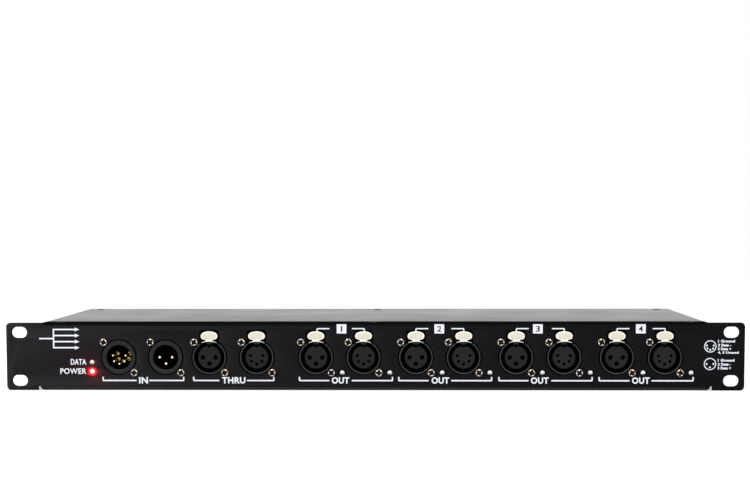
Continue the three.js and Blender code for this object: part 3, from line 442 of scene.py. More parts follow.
def screw_head(
    form: Form,
    centre: tuple[float, float, float],
    out: tuple[float, float, float],
    radius: float,
    height: float,
    shank: float,
    turn: float,
) -> None:
    """A pan-head screw with a cross recess, as one height field on a polar grid.

    The dome is height times (1 - (r / R)^3) to the power one third. The recess is the larger of
    two bars across the middle, each a product of two smooth steps, and of a round middle a
    little over half as wide as the head, with a floor that rises outwards. Its share at each
    point is the mark with which the plating paints shade into the recess.

    Args:
        form: The piece to add to.
        centre: Middle of the head's seat.
        out: Unit direction in which the head looks.
        radius: Radius of the head.
        height: Height of the head.
        shank: Length of the shank behind the seat.
        turn: Angle of the cross, in radians.
    """
    around = 56
    across = np.linspace(0.04, 1, 24)[:, None] * radius
    angle = np.arange(around)[None] * (2 * np.pi / around)
    a, b = across * np.cos(angle - turn), across * np.sin(angle - turn)
    arm, reach, middle, edge = radius * np.array([0.36, 0.84, 0.58, 0.1])

    def step(distance: Array) -> Array:
        """A smooth step from nought to one over the edge's width."""
        share = np.clip(distance / edge, 0, 1)
        return share * share * (3 - 2 * share)

    bars = [step(arm - np.abs(u)) * step(reach - np.abs(v)) for u, v in ((a, b), (b, a))]
    recess = np.maximum(np.maximum(*bars), step(middle - across))
    dome = height * np.clip(1 - (across / radius) ** 3, 0, 1) ** (1 / 3)
    lift = dome - recess * height * (0.75 - 0.35 * across / reach)
    lift = np.maximum(lift, 0.02 * height * (across < radius))
    rim = np.array([[radius, 0.0], [radius * 0.55, 0.0], [radius * 0.55, -shank]])
    ring_r = np.concatenate([np.broadcast_to(across, lift.shape), rim[:, :1] + 0 * angle])
    ring_h = np.concatenate([lift, rim[:, 1:] + 0 * angle])
    # The recess share is the mark for the painted shade in the recess.
    mark = np.concatenate([recess, np.zeros((len(rim), around))])
    out_way = np.array(out, float)
    side = np.cross(out_way, [0.0, 0.0, 1.0] if abs(out_way[2]) < 0.5 else [0.0, 1.0, 0.0])
    up = np.cross(side, out_way)
    rows = (
        np.array(centre, float)
        + (ring_r * np.cos(angle))[..., None] * side
        + (ring_r * np.sin(angle))[..., None] * up
        + ring_h[..., None] * out_way
    )
    form.loft(rows, mark=mark)


def lettering(form: Form, words: str, low: tuple[float, float], high: tuple[float, float],
              weight: float = 0.03, proud: float = 0.04) -> None:
    """Words from the built-in typeface, stretched to a box on the panel's face.

    The text's own box is mapped to the given one: x to x, y to z, and its depth to y.

    Args:
        form: The piece to add to.
        words: The words.
        low: Left and bottom of the box, x and z.
        high: Right and top of the box.
        weight: How far the strokes grow, as a share of the letter size.
        proud: How far the letters stand off the panel.
    """
    curve = bpy.data.curves.new("words", "FONT")
    curve.body = words
    curve.size = 1.0
    curve.offset = weight
    curve.space_character = 1.08
    curve.extrude = 0.5
    curve.resolution_u = 4
    helper = bpy.data.objects.new("words", curve)
    bpy.context.scene.collection.objects.link(helper)
    mesh = bpy.data.meshes.new_from_object(
        helper.evaluated_get(bpy.context.evaluated_depsgraph_get()))
    points = np.empty(len(mesh.vertices) * 3)
    mesh.vertices.foreach_get("co", points)
    points = points.reshape(-1, 3)
    faces = [list(polygon.vertices) for polygon in mesh.polygons]
    bpy.data.objects.remove(helper)
    bpy.data.curves.remove(curve)
    bpy.data.meshes.remove(mesh)
    least, most = points.min(axis=0), points.max(axis=0)
    share = (points - least) / (most - least)
    form.add(np.stack([
        low[0] + share[:, 0] * (high[0] - low[0]),
        INK_SINK - share[:, 2] * (proud + INK_SINK),
        low[1] + share[:, 1] * (high[1] - low[1]),
    ], axis=1), faces)


# Finishes


class Nodes:
    """A short way to add and join the nodes of one tree."""

    def __init__(self, tree: bpy.types.NodeTree) -> None:
        """Keeps the tree."""
        self.tree = tree

    def add(self, kind: str, inputs: dict | None = None, **settings: object) -> bpy.types.Node:
        """A new node.

        Args:
            kind: The node's type name.
            inputs: Socket names or numbers with a value, or a socket to link from.
            settings: Attributes of the node.

        Returns:
            The node.
        """
        node = self.tree.nodes.new(kind)
        for name, value in settings.items():
            setattr(node, name, value)
        for name, value in (inputs or {}).items():
            if isinstance(value, bpy.types.NodeSocket):
                self.tree.links.new(value, node.inputs[name])
            else:
                node.inputs[name].default_value = value
        return node

    def mix(self, share: object, first: object, second: object) -> bpy.types.NodeSocket:
        """A colour between two colours: the first times one minus the share, plus the second's.

        Args:
            share: The second colour's share, a value or a socket.
            first: A colour or a socket.
            second: A colour or a socket.

        Returns:
            The mixed colour's socket.
        """
        node = self.tree.nodes.new("ShaderNodeMix")
        node.data_type = "RGBA"
        factor, start, end = (node.inputs[place] for place in (0, 6, 7))
        for socket, value in ((factor, share), (start, first), (end, second)):
            if isinstance(value, bpy.types.NodeSocket):
                self.tree.links.new(value, socket)
            elif isinstance(value, tuple):
                socket.default_value = (*value, 1.0)
            else:
                socket.default_value = value
        return node.outputs[2]


def new_group(name: str, takes: dict[str, tuple[str, object]], gives: dict[str, str]) -> tuple:
    """An empty node group with named sockets.

    Args:
        name: The group's name.
        takes: Input names with their socket type and default value, or None for none.
        gives: Output names with their socket type.

    Returns:
        The group, its Nodes, the group's input node and its output node.
    """
    group = bpy.data.node_groups.new(name, "ShaderNodeTree")
    for label, (kind, value) in takes.items():
        socket = group.interface.new_socket(label, in_out="INPUT", socket_type=kind)
        if value is not None:
            socket.default_value = value
    for label, kind in gives.items():
        group.interface.new_socket(label, in_out="OUTPUT", socket_type=kind)
    nodes = Nodes(group)
    return group, nodes, nodes.add("NodeGroupInput"), nodes.add("NodeGroupOutput")


def grain_group() -> bpy.types.NodeTree:
    """Fine grain, its flecks and broad patches.

    The height is a noise times the distance to the nearest of scattered points. A fleck is the
    top of that noise, and a patch is the middle range of a broader noise.

    Returns:
        The node group.
    """
    group, nodes, given, out = new_group(
        "fine_grain",
        {"Vector": ("NodeSocketVector", None), "Grains per metre": ("NodeSocketFloat", 2500.0)},
        {"Height": "NodeSocketFloat", "Fleck": "NodeSocketFloat", "Patch": "NodeSocketFloat"},
    )
    scale = given.outputs["Grains per metre"]
    vector = given.outputs["Vector"]
    fine = nodes.add("ShaderNodeTexNoise", {"Vector": vector, "Scale": scale, "Detail": 3.0})
    cells = nodes.add("ShaderNodeTexVoronoi", {"Vector": vector, "Scale": scale})
    fleck = nodes.add("ShaderNodeMapRange", {
        "Value": fine.outputs[0], "From Min": 0.55, "From Max": 0.75})
    height = nodes.add("ShaderNodeMath", {0: fine.outputs[0], 1: cells.outputs[0]},
                       operation="MULTIPLY")
    broad = nodes.add("ShaderNodeTexNoise", {"Vector": vector, "Scale": 22.0, "Detail": 4.0})
    patch = nodes.add("ShaderNodeMapRange", {
        "Value": broad.outputs[0], "From Min": 0.35, "From Max": 0.7})
    for name, node in (("Height", height), ("Fleck", fleck), ("Patch", patch)):
        group.links.new(node.outputs[0], out.inputs[name])
    return group


def edge_group() -> bpy.types.NodeTree:
    """Rubbed edges with a painted highlight along them: one minus the dot product of the true
    normal and a rounded-over one.

    Returns:
        The node group.
    """
    group, nodes, given, out = new_group(
        "rubbed_and_highlit_edges",
        {"Width": ("NodeSocketFloat", 0.0004), "Amount": ("NodeSocketFloat", 1.0),
         "Broken by": ("NodeSocketFloat", 1.0)},
        {"Mask": "NodeSocketFloat"},
    )
    over = nodes.add("ShaderNodeBevel", {"Radius": given.outputs["Width"]}, samples=4)
    true = nodes.add("ShaderNodeNewGeometry")
    dot = nodes.add("ShaderNodeVectorMath", {0: over.outputs[0], 1: true.outputs["Normal"]},
                    operation="DOT_PRODUCT")
    mask = nodes.add("ShaderNodeMapRange", {
        "Value": dot.outputs["Value"], "From Min": 0.995, "From Max": 0.86,
        "To Max": given.outputs["Amount"]})
    broken = nodes.add("ShaderNodeMath", {0: mask.outputs[0], 1: given.outputs["Broken by"]},
                       operation="MULTIPLY")
    group.links.new(broken.outputs[0], out.inputs["Mask"])
    return group


def dust_group() -> bpy.types.NodeTree:
    """Settled dust: the upward share of the normal, broken by a noise.

    Returns:
        The node group.
    """
    group, nodes, given, out = new_group(
        "settled_dust",
        {"Vector": ("NodeSocketVector", None), "Amount": ("NodeSocketFloat", 0.1)},
        {"Mask": "NodeSocketFloat"},
    )
    true = nodes.add("ShaderNodeNewGeometry")
    parts = nodes.add("ShaderNodeSeparateXYZ", {0: true.outputs["Normal"]})
    up = nodes.add("ShaderNodeMapRange", {
        "Value": parts.outputs[2], "From Min": 0.4, "From Max": 1.0,
        "To Max": given.outputs["Amount"]})
    specks = nodes.add("ShaderNodeTexNoise", {
        "Vector": given.outputs["Vector"], "Scale": 300.0, "Detail": 6.0, "Roughness": 0.7})
    mask = nodes.add("ShaderNodeMath", {0: up.outputs[0], 1: specks.outputs[0]},
                     operation="MULTIPLY")
    group.links.new(mask.outputs[0], out.inputs["Mask"])
    return group


GROUPS = {"grain": grain_group(), "edge": edge_group(), "dust": dust_group()}


@dataclass(frozen=True)
class Finish:
    """A painted, plated or moulded surface, with grain, flecks, patches, dust, rubbed edges with a
    painted highlight, and painted shade where a mark says.
    """

    name: str
    colour: Colour
    fleck: Colour
    roughness: float
    metallic: float = 0.0
    specular: float = 0.5
    coat: float = 0.0
    spread: float = 0.12
    flecks: float = 0.3
    grains: float = 2500.0
    relief: float = 0.02
    # Edge colour mixed in along rounded-over edges: partly rubbed edges, mostly a painted highlight
    # along rims.
    edge: Colour | None = None
    edge_amount: float = 0.3
    dust: float = 0.06
    # Colour mixed in where the mark says: painted shade in bores and screw recesses, the duller
    # middle of the latch tab inside its painted rim highlight, and a lens's darker lower patch.
    hollow: Colour | None = None

    def material(self) -> bpy.types.Material:
        """The material, made once.

        Returns:
            The Blender material.
        """
        made = bpy.data.materials.get(self.name)
        if made:
            return made
        made = bpy.data.materials.new(self.name)
        made.use_nodes = True
        nodes = Nodes(made.node_tree)
        shader = made.node_tree.nodes["Principled BSDF"]
        where = nodes.add("ShaderNodeTexCoord").outputs["Object"]
        grain = nodes.add("ShaderNodeGroup", node_tree=GROUPS["grain"])
        made.node_tree.links.new(where, grain.inputs["Vector"])
        grain.inputs["Grains per metre"].default_value = self.grains
        colour = self.base(nodes, where)
        amount = nodes.add("ShaderNodeMath", {0: grain.outputs["Fleck"], 1: self.flecks},
                           operation="MULTIPLY").outputs[0]
        colour = nodes.mix(amount, colour, self.fleck)
        # Rubbed edges with a painted highlight, broken by the broad patches.
        if self.edge:
            edge = nodes.add("ShaderNodeGroup", node_tree=GROUPS["edge"])
            edge.inputs["Amount"].default_value = self.edge_amount
            made.node_tree.links.new(grain.outputs["Patch"], edge.inputs["Broken by"])
            colour = nodes.mix(edge.outputs["Mask"], colour, self.edge)
        # Painted shade where the mark says.
        if self.hollow:
            mark = nodes.add("ShaderNodeAttribute", attribute_name="mark")
            colour = nodes.mix(mark.outputs["Fac"], colour, self.hollow)
        if self.dust:
            dust = nodes.add("ShaderNodeGroup", node_tree=GROUPS["dust"])
            made.node_tree.links.new(where, dust.inputs["Vector"])
            dust.inputs["Amount"].default_value = self.dust
            colour = nodes.mix(dust.outputs["Mask"], colour, DUST_GREY)
        rough = nodes.add("ShaderNodeMapRange", {
            "Value": grain.outputs["Patch"], "To Min": self.roughness - self.spread / 2,
            "To Max": self.roughness + self.spread / 2})
        bump = nodes.add("ShaderNodeBump", {
            "Height": grain.outputs["Height"], "Distance": self.relief * METRE, "Strength": 1.0})
        links = made.node_tree.links
        links.new(colour, shader.inputs["Base Color"])
        links.new(rough.outputs[0], shader.inputs["Roughness"])
        links.new(bump.outputs[0], shader.inputs["Normal"])
        shader.inputs["Metallic"].default_value = self.metallic
        shader.inputs["Specular IOR Level"].default_value = self.specular
        shader.inputs["Coat Weight"].default_value = self.coat
        self.extra(nodes, shader)
        return made

    def base(self, nodes: Nodes, where: bpy.types.NodeSocket) -> object:
        """The colour under the grain, one colour here."""
        return self.colour

    def extra(self, nodes: Nodes, shader: bpy.types.Node) -> None:
        """Further settings of a kind of finish, none here."""


@dataclass(frozen=True)
class Striped(Finish):
    """A finish with bands of a second colour along one axis, such as a flat cable's wires."""

    stripe: Colour = (1.0, 1.0, 1.0)
    stripes_per_metre: float = 800.0
    direction: tuple[float, float, float] = (1.0, 0.0, 0.0)
    stripe_share: float = 0.5

    def base(self, nodes: Nodes, where: bpy.types.NodeSocket) -> object:
        """Bands by the sine of the distance along the direction.

        Args:
            nodes: The material's nodes.
            where: The place in the piece.

        Returns:
            The banded colour's socket.
        """
        along = nodes.add("ShaderNodeVectorMath", {0: where, 1: self.direction},
                          operation="DOT_PRODUCT").outputs["Value"]
        wave = nodes.add("ShaderNodeMath", {
            0: along, 1: 2 * math.pi * self.stripes_per_metre}, operation="MULTIPLY").outputs[0]
        sine = nodes.add("ShaderNodeMath", {0: wave}, operation="SINE").outputs[0]
        edge = math.cos(math.pi * self.stripe_share)
        band = nodes.add("ShaderNodeMapRange", {
            "Value": sine, "From Min": edge - 0.1, "From Max": edge + 0.1}).outputs[0]
        return nodes.mix(band, self.colour, self.stripe)


@dataclass(frozen=True)
class Lens(Finish):
    """A lamp's lens, clear or coloured, darker where its mark says and lit if it has a glow; an
    unlit lens's pale colour is a painted reflection and its darker patch partly painted shade.
    """

    glow: Colour | None = None
    core: Colour = (1.0, 0.3, 0.34)
    glow_strength: float = 0.0

    def extra(self, nodes: Nodes, shader: bpy.types.Node) -> None:
        """Sets the light that the lens gives off, paler where its mark says.

        Args:
            nodes: The material's nodes.
            shader: Its shader.
        """
        if self.glow:
            mark = nodes.add("ShaderNodeAttribute", attribute_name="mark")
            hot = nodes.mix(mark.outputs["Fac"], self.glow, self.core)
            nodes.tree.links.new(hot, shader.inputs["Emission Color"])
            shader.inputs["Emission Strength"].default_value = self.glow_strength


# Panel coat: its edge colour is a painted highlight along the rims of the holes and the outline.
PANEL_COAT = Finish("panel_powder_coat", (0.0019, 0.0019, 0.0025), (0.0105, 0.0105, 0.013), 0.6,
                    specular=0.045, flecks=0.35, grains=2200.0, relief=0.05, spread=0.1,
                    edge=(0.03, 0.03, 0.034), edge_amount=0.35, dust=0.02)
# The front flange's coat is the panel coat without its sheen, so that the strip reads black:
# painted shade.
SHADED_FLANGE_COAT = replace(PANEL_COAT, name="flange_coat_painted_shade", colour=(0.0038, 0.0038, 0.0046),
                      specular=0.0, edge=None, dust=0.0)
# The base's coat is a lighter, shinier copy of the panel coat: a painted highlight along the lower
# bend.
LIT_BASE_COAT = replace(PANEL_COAT, name="base_coat_painted_highlight", colour=(0.0034, 0.0034, 0.0042),
                    specular=0.3, roughness=0.5)
# Cover coat: the pale edge colour paints a highlight along the lid's rolled front edge and its
# other rims.
COVER_COAT = Finish("cover_powder_coat", (0.014, 0.0145, 0.016), (0.05, 0.05, 0.055), 0.32,
                    specular=0.7, flecks=0.3, grains=2000.0, relief=0.025, spread=0.08,
                    edge=(0.30, 0.30, 0.30), edge_amount=0.8, dust=0.05)
# Socket lips: painted shade inside the bore through the mark, and a painted highlight along the
# rims through the edge colour.
SHELL_COAT = Finish("socket_shell_coat", (0.0080, 0.0075, 0.0092), (0.020, 0.019, 0.023), 0.42,
                    specular=0.22, flecks=0.25, grains=1800.0, relief=0.02,
                    edge=(0.11, 0.108, 0.115), edge_amount=0.6, hollow=(0.002, 0.002, 0.002))
THIN_SHELL_COAT = Finish("latched_shell_coat", (0.012, 0.012, 0.014), (0.035, 0.035, 0.036), 0.34,
                         specular=0.5, flecks=0.2, grains=1800.0, relief=0.015,
                         edge=(0.10, 0.10, 0.105), edge_amount=0.4, hollow=(0.002, 0.002, 0.002))
# Insert: the edge colour is a painted highlight on its chamfer and the rims of the contact holes.
INSERT_MOULDING = Finish("insert_moulding", (0.0078, 0.0078, 0.0100), (0.017, 0.017, 0.020), 0.46,
                         specular=0.15, flecks=0.2, grains=1400.0, relief=0.015,
                         edge=(0.075, 0.075, 0.08), edge_amount=0.55)
# The bore walls and the flange seen through the gap round each socket are painted near black:
# painted shade.
SHADED_BARREL = Finish("barrel_painted_shade", (0.0014, 0.0014, 0.0016), (0.003, 0.003, 0.003), 0.7,
                      specular=0.04, flecks=0.2, grains=1400.0, relief=0.02, dust=0.0)
CARRIER_MOULDING = Finish("carrier_moulding", (0.0012, 0.0012, 0.0012), (0.003, 0.003, 0.003), 0.6,
                          specular=0.04, flecks=0.2, grains=1400.0, relief=0.02, dust=0.0)
# Latch plating: a bright base and edge colour as a painted highlight round the tab's rim, and a
# duller painted middle through the mark.
LATCH_PLATING = Finish("latch_nickel", (0.95, 0.91, 0.82), (0.60, 0.54, 0.44), 0.34, metallic=0.75,
                       flecks=0.3, grains=1500.0, relief=0.008, spread=0.12,
                       edge=(1.0, 0.97, 0.90), edge_amount=0.7, dust=0.0, hollow=(0.72, 0.66, 0.55))
# The latch's stem, tooth and pin are painted near black for the shade over them, though they belong
# to the plated latch.
SHADED_HOOK_STEEL = Finish("latch_hook_painted_shade", (0.012, 0.012, 0.012), (0.03, 0.03, 0.03), 0.45,
                    specular=0.3, flecks=0.3, grains=1500.0, relief=0.01,
                    edge=(0.03, 0.03, 0.03), dust=0.0)
# Plated screw heads: painted shade in the cross recess through the mark, and a painted highlight
# round the rim through the edge colour.
SCREW_PLATING = Finish("screw_nickel", (0.86, 0.77, 0.65), (0.30, 0.23, 0.17), 0.24, metallic=0.9,
                       flecks=0.5, grains=1500.0, relief=0.01, spread=0.14,
                       edge=(0.98, 0.92, 0.82), edge_amount=0.6, dust=0.0,
                       hollow=(0.006, 0.005, 0.004))
# Black screw heads: painted shade in the recess through the mark, as on the plated ones.
BLACK_SCREW = Finish("black_screw", (0.012, 0.012, 0.013), (0.04, 0.04, 0.04), 0.42, specular=0.4,
                     flecks=0.3, grains=1500.0, relief=0.01, edge=(0.08, 0.08, 0.08), dust=0.03,
                     hollow=(0.003, 0.003, 0.003))
# Contact noses: a paler gold than the collars' and a bright edge colour, as a painted highlight;
# the collars below also take a painted edge highlight.
HIGHLIT_GOLD = Finish("contact_gold_painted_highlight", (1.0, 0.84, 0.50), (0.86, 0.64, 0.30), 0.2, metallic=1.0,
                   flecks=0.25, grains=1500.0, relief=0.003, edge=(1.0, 0.95, 0.78),
                   edge_amount=0.9, dust=0.0)
DEEP_GOLD = Finish("collar_gold", (1.0, 0.66, 0.20), (0.82, 0.44, 0.10), 0.28, metallic=1.0,
                   flecks=0.25, grains=1500.0, relief=0.003, edge=(1.0, 0.80, 0.34),
                   edge_amount=0.9, dust=0.0)
INK = Finish("screen_print_white", (0.80, 0.83, 0.90), (0.62, 0.65, 0.72), 0.55, specular=0.3,
             flecks=0.35, grains=3000.0, relief=0.006, dust=0.0)
DARK_INK = Finish("screen_print_dark", (0.014, 0.014, 0.018), (0.03, 0.03, 0.035), 0.55,
                  specular=0.25, flecks=0.3, grains=3000.0, relief=0.006, dust=0.0)
# Unlit lenses: the pale colour is a painted reflection of the white surroundings on the clear dome;
# the darker lower patch is the cup inside and painted shade.
CLEAR_LENS = Lens("clear_lens", (0.80, 0.79, 0.82), (0.60, 0.60, 0.64), 0.16, coat=0.6,
                  flecks=0.15, grains=900.0, relief=0.004, dust=0.0, hollow=(0.03, 0.03, 0.035))
DIM_LENS = Lens("dim_pink_lens", (0.84, 0.78, 0.80), (0.62, 0.54, 0.57), 0.2, coat=0.5, flecks=0.2,
                grains=900.0, relief=0.004, dust=0.0, hollow=(0.16, 0.09, 0.11))
RED_LENS = Lens("lit_red_lens", (0.75, 0.02, 0.03), (0.60, 0.01, 0.02), 0.2, coat=0.5, flecks=0.15,
                grains=900.0, relief=0.004, dust=0.0, glow=(1.0, 0.004, 0.008), glow_strength=3.2)
BOARD_MASK = Finish("board_mask", (0.010, 0.075, 0.030), (0.10, 0.20, 0.12), 0.35, flecks=0.25,
                    grains=700.0, relief=0.02, coat=0.3)
FERRITE = Finish("ferrite", (0.035, 0.035, 0.038), (0.08, 0.08, 0.08), 0.8, flecks=0.5,
                 grains=1200.0, relief=0.06, edge=(0.12, 0.12, 0.12))
SLEEVE = Striped("capacitor_sleeve", (0.012, 0.016, 0.05), (0.03, 0.04, 0.09), 0.3, flecks=0.2,
                 grains=900.0, relief=0.01, coat=0.4, stripe=(0.45, 0.47, 0.5),
                 stripes_per_metre=62.0, direction=(1.0, 0.0, 0.0), stripe_share=0.8)
BARE_ALUMINIUM = Striped("drawn_aluminium", (0.60, 0.61, 0.63), (0.45, 0.46, 0.48), 0.38,
                         metallic=1.0, flecks=0.3, grains=900.0, relief=0.02,
                         stripe=(0.68, 0.69, 0.71), stripes_per_metre=3100.0,
                         direction=(0.0, 0.0, 1.0))
RIBBON = Striped("ribbon_sleeve", (0.32, 0.33, 0.35), (0.42, 0.43, 0.45), 0.6, flecks=0.2,
                 grains=1200.0, relief=0.02, stripe=(0.22, 0.23, 0.245), stripes_per_metre=787.0)
LEAD_SLEEVE = Finish("lead_sleeve", (0.012, 0.012, 0.013), (0.03, 0.03, 0.03), 0.6, flecks=0.4,
                     grains=1600.0, relief=0.05)
EARTH_SLEEVE = Striped("earth_sleeve", (0.16, 0.36, 0.02), (0.22, 0.40, 0.05), 0.5, flecks=0.2,
                       grains=1200.0, relief=0.02, stripe=(0.75, 0.62, 0.03),
                       stripes_per_metre=120.0, direction=(0.4, 0.6, 0.7))
ZINC = Finish("zinc_plate", (0.60, 0.59, 0.55), (0.42, 0.40, 0.34), 0.36, metallic=1.0, flecks=0.4,
              grains=900.0, relief=0.02, edge=(0.8, 0.79, 0.75))
BLACK_MOULDING = Finish("black_moulding", (0.010, 0.010, 0.011), (0.03, 0.03, 0.03), 0.45,
                        flecks=0.3, grains=1100.0, relief=0.03, edge=(0.05, 0.05, 0.05))
ROCKER_GLOSS = Finish("rocker_gloss", (0.010, 0.010, 0.011), (0.02, 0.02, 0.02), 0.25, coat=0.3,
                      flecks=0.2, grains=1100.0, relief=0.015, edge=(0.05, 0.05, 0.05))
FUSE_GLASS = Striped("fuse_glass", (0.75, 0.78, 0.80), (0.60, 0.62, 0.64), 0.12, flecks=0.2,
                     grains=900.0, relief=0.004, coat=0.5, stripe=(0.55, 0.53, 0.48),
                     stripes_per_metre=48.0, direction=(1.0, 0.0, 0.0), stripe_share=0.6)


# The bench on which pieces are fitted


@dataclass
class Bench:
    """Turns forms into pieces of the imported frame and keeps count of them."""

    front: float
    made: int = 0

    def fit(
        self,
        form: Form,
        name: str,
        finish: Finish,
        body: str = ROOT,
        stands_for: tuple[str, ...] = (),
    ) -> bpy.types.Object:
        """Makes an object of a form, in metres, hangs it on its body and hides the CAD nodes that
        it replaces.

        Args:
            form: The form in millimetres.
            name: The piece's name.
            finish: Its finish.
            body: The body that it rides on.
            stands_for: The CAD nodes that it replaces.

        Returns:
            The object.
        """
        points = np.concatenate(form.points) * METRE
        points[:, 1] += self.front
        mesh = bpy.data.meshes.new(name)
        mesh.from_pydata(points.tolist(), [], form.faces)
        mark = mesh.attributes.new("mark", "FLOAT", "POINT")
        mark.data.foreach_set("value", np.concatenate(form.marks).astype(np.float32))
        shell = bmesh.new()
        shell.from_mesh(mesh)
        bmesh.ops.recalc_face_normals(shell, faces=shell.faces)
        shell.to_mesh(mesh)
        shell.free()
        mesh.shade_smooth()
        mesh.set_sharp_from_angle(angle=SMOOTH_ANGLE)
        mesh.materials.append(finish.material())
        piece = bpy.data.objects.new(name, mesh)
        bpy.context.scene.collection.objects.link(piece)
        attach(piece, body)
        if stands_for:
            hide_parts(*stands_for)
        self.made += 1
        log.info("%s: %d faces, %s, on %s", name, len(mesh.polygons), finish.name, body)
        return piece

    def dress(self, node: str, finish: Finish, edge: float = 0.0) -> None:
        """Gives a CAD node a finish, and rolled edges through a weld and a bevel.

        Args:
            node: The node's name.
            finish: Its finish.
            edge: Width of the rolled edges in millimetres, or nought for none.
        """
        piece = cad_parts[node]
        piece.data.materials.clear()
        piece.data.materials.append(finish.material())
        if edge:
            weld = piece.modifiers.new("weld", "WELD")
            weld.merge_threshold = 1e-6
            roll = piece.modifiers.new("roll", "BEVEL")
            roll.width = edge * METRE
            roll.segments = 2
            roll.limit_method = "ANGLE"
            roll.angle_limit = math.radians(40)
        log.info("%s: kept, %s", node, finish.name)


# The sub-assemblies


@dataclass
class Socket:
    """A round panel socket with its shell, contacts, two screws and, if it has one, a latch."""

    name: str
    x: float
    contacts: Contacts
    male: bool = False
    turns: tuple[float, float] = (0.4, 1.1)
    z: float = SOCKET_Z
    ring: float = 10.95
    proud: float = 0.8
    depth: float = 20.0
    female_bore: float = 9.7
    male_bore: float = 8.15
    bevel: float = 0.55
    lip_width: float = 0.75
    latch_half: float = 5.35
    slot_half: float = 3.15
    insert: float = 7.45
    screw_offset: float = 10.0
    screw_radius: float = 2.4
    screw_height: float = 1.55
    screw_shank: float = 3.4
    foot: float = 12.6
    base: float = 16.5
    end: float = 22.3
    seat: float = 2.6
    ring_back: float = 1.2
    flange_back: float = 3.5
    insert_play: float = 0.3

    def contact_places(self) -> Array:
        """Centres of the contacts about the socket's own centre, at equal angles on a circle.

        Returns:
            Array (n, 2) in x and z.
        """
        if self.contacts is Contacts.THREE:
            angle, radius = np.radians([-90.0, 90.0, 180.0]), 4.1
        else:
            angle, radius = np.radians(180 + 52.75 * np.array([-2, -1, 0, 1, 2])), 4.3
        return np.stack([radius * np.sin(angle), radius * np.cos(angle)], axis=1)

    def flange_outline(self) -> Array:
        """The flange behind the panel: a square with two corners cut, and a latch's tower.

        Returns:
            Array (n, 2) in x and z.
        """
        half, cut, tower, top = 13.0, 7.0, 7.4, 18.95
        head = [[half - cut, half]] if self.male else [
            [tower, half], [tower, top], [-tower, top], [-tower, half]]
        corners = np.array([[-half, cut - half], [cut - half, -half], [half, -half],
                            [half, half - cut], *head, [-half, half]])
        return corners + [self.x, self.z]

    def lip_form(self) -> Form:
        """The lip in front of the panel: a bevelled ring, or a thin one open at the latch.

        Returns:
            The form.
        """
        form = Form()
        lip = -self.proud
        if self.male:
            profile = rounded(np.array([
                [self.male_bore, self.seat], [self.male_bore, lip + self.bevel],
                [self.male_bore + self.bevel, lip], [self.ring, lip],
                [self.ring, self.ring_back]]),
                [0, 0.25, 0.25, 0.5, 0], 5)
            form.turned(profile, self.x, self.z, 96, ring=True, mark=self.dark(profile, 96))
        else:
            wide = math.asin(self.latch_half / self.female_bore)
            inner = self.ring - self.lip_width
            front = rounded(np.array([
                [inner, 1.0], [inner, lip], [self.ring, lip], [self.ring, 1.0]]),
                [0, 0.25, 0.35, 0], 5)
            form.arc(front, self.x, self.z, wide, 2 * math.pi - wide, 84, self.dark(front, 85).T)
        return form

    def barrel_form(self) -> Form:
        """The rest of the shell, painted black as shade: barrel, flange and foot, with the latch's
        slot left out.

        Returns:
            The form.
        """
        form = Form()
        if self.male:
            barrel = np.array([
                [self.male_bore, self.seat], [self.ring, self.ring_back],
                [self.ring, self.depth], [self.male_bore, self.depth]])
            form.turned(barrel, self.x, self.z, 96, ring=True)
        else:
            bore, step, back, floor = self.female_bore, 1.0, 8.0, 15.0
            wide = math.asin(self.latch_half / bore)
            narrow = math.asin(self.slot_half / bore)
            inner = self.ring - self.lip_width
            slope = np.array([[bore, step], [bore, 0.5], [inner, 0.1], [inner, step]])
            form.arc(slope, self.x, self.z, wide, 2 * math.pi - wide, 84)
            middle = np.array([[bore, step], [self.ring, step], [self.ring, back], [bore, back]])
            form.arc(middle, self.x, self.z, narrow, 2 * math.pi - narrow, 84)
            around_insert = self.insert + self.insert_play
            end = np.array([
                [bore, back], [self.ring, back], [self.ring, self.depth],
                [around_insert, self.depth], [around_insert, floor], [bore, floor]])
            form.turned(end, self.x, self.z, 72, ring=True)
            near, far, cheek_end, cheek_low, cheek_top = 3.2, 4.95, 8.2, 9.9, 12.6
            for side in (-1, 1):
                edges = sorted([self.x + side * near, self.x + side * far])
                form.block((edges[0], SHEET, self.z + cheek_low),
                           (edges[1], cheek_end, self.z + cheek_top), 0.2)
        hole = circle(self.ring - 0.05, 72, self.x, self.z)
        form.slab(self.flange_outline(), SHEET, self.flange_back, holes=[hole], rim=0.2)
        foot_half, foot_start, foot_top = 8.0, 8.0, 9.9
        form.block((self.x - foot_half, foot_start, self.z - self.foot),
                   (self.x + foot_half, self.depth, self.z - foot_top), 0.3)
        return form

    def dark(self, profile: Array, around: int) -> Array:
        """How deep each point of a lip's profile lies behind its front edge, from 0 to 1.

        The mark is the depth behind the lip's front, over 0.9 for a plug-in socket and 0.7 for
        one with a latch, cut to that range. It is painted shade in the bore: the coat turns black
        where it is one.

        Args:
            profile: Array (m, 2) of radius and depth.
            around: Number of copies of the profile.

        Returns:
            Array (m, around) for a turned lip; an arc takes it with its axes exchanged.
        """
        deep = np.clip((profile[:, 1:] + self.proud) / (0.9 if self.male else 0.7), 0, 1)
        return deep + np.zeros((1, around))

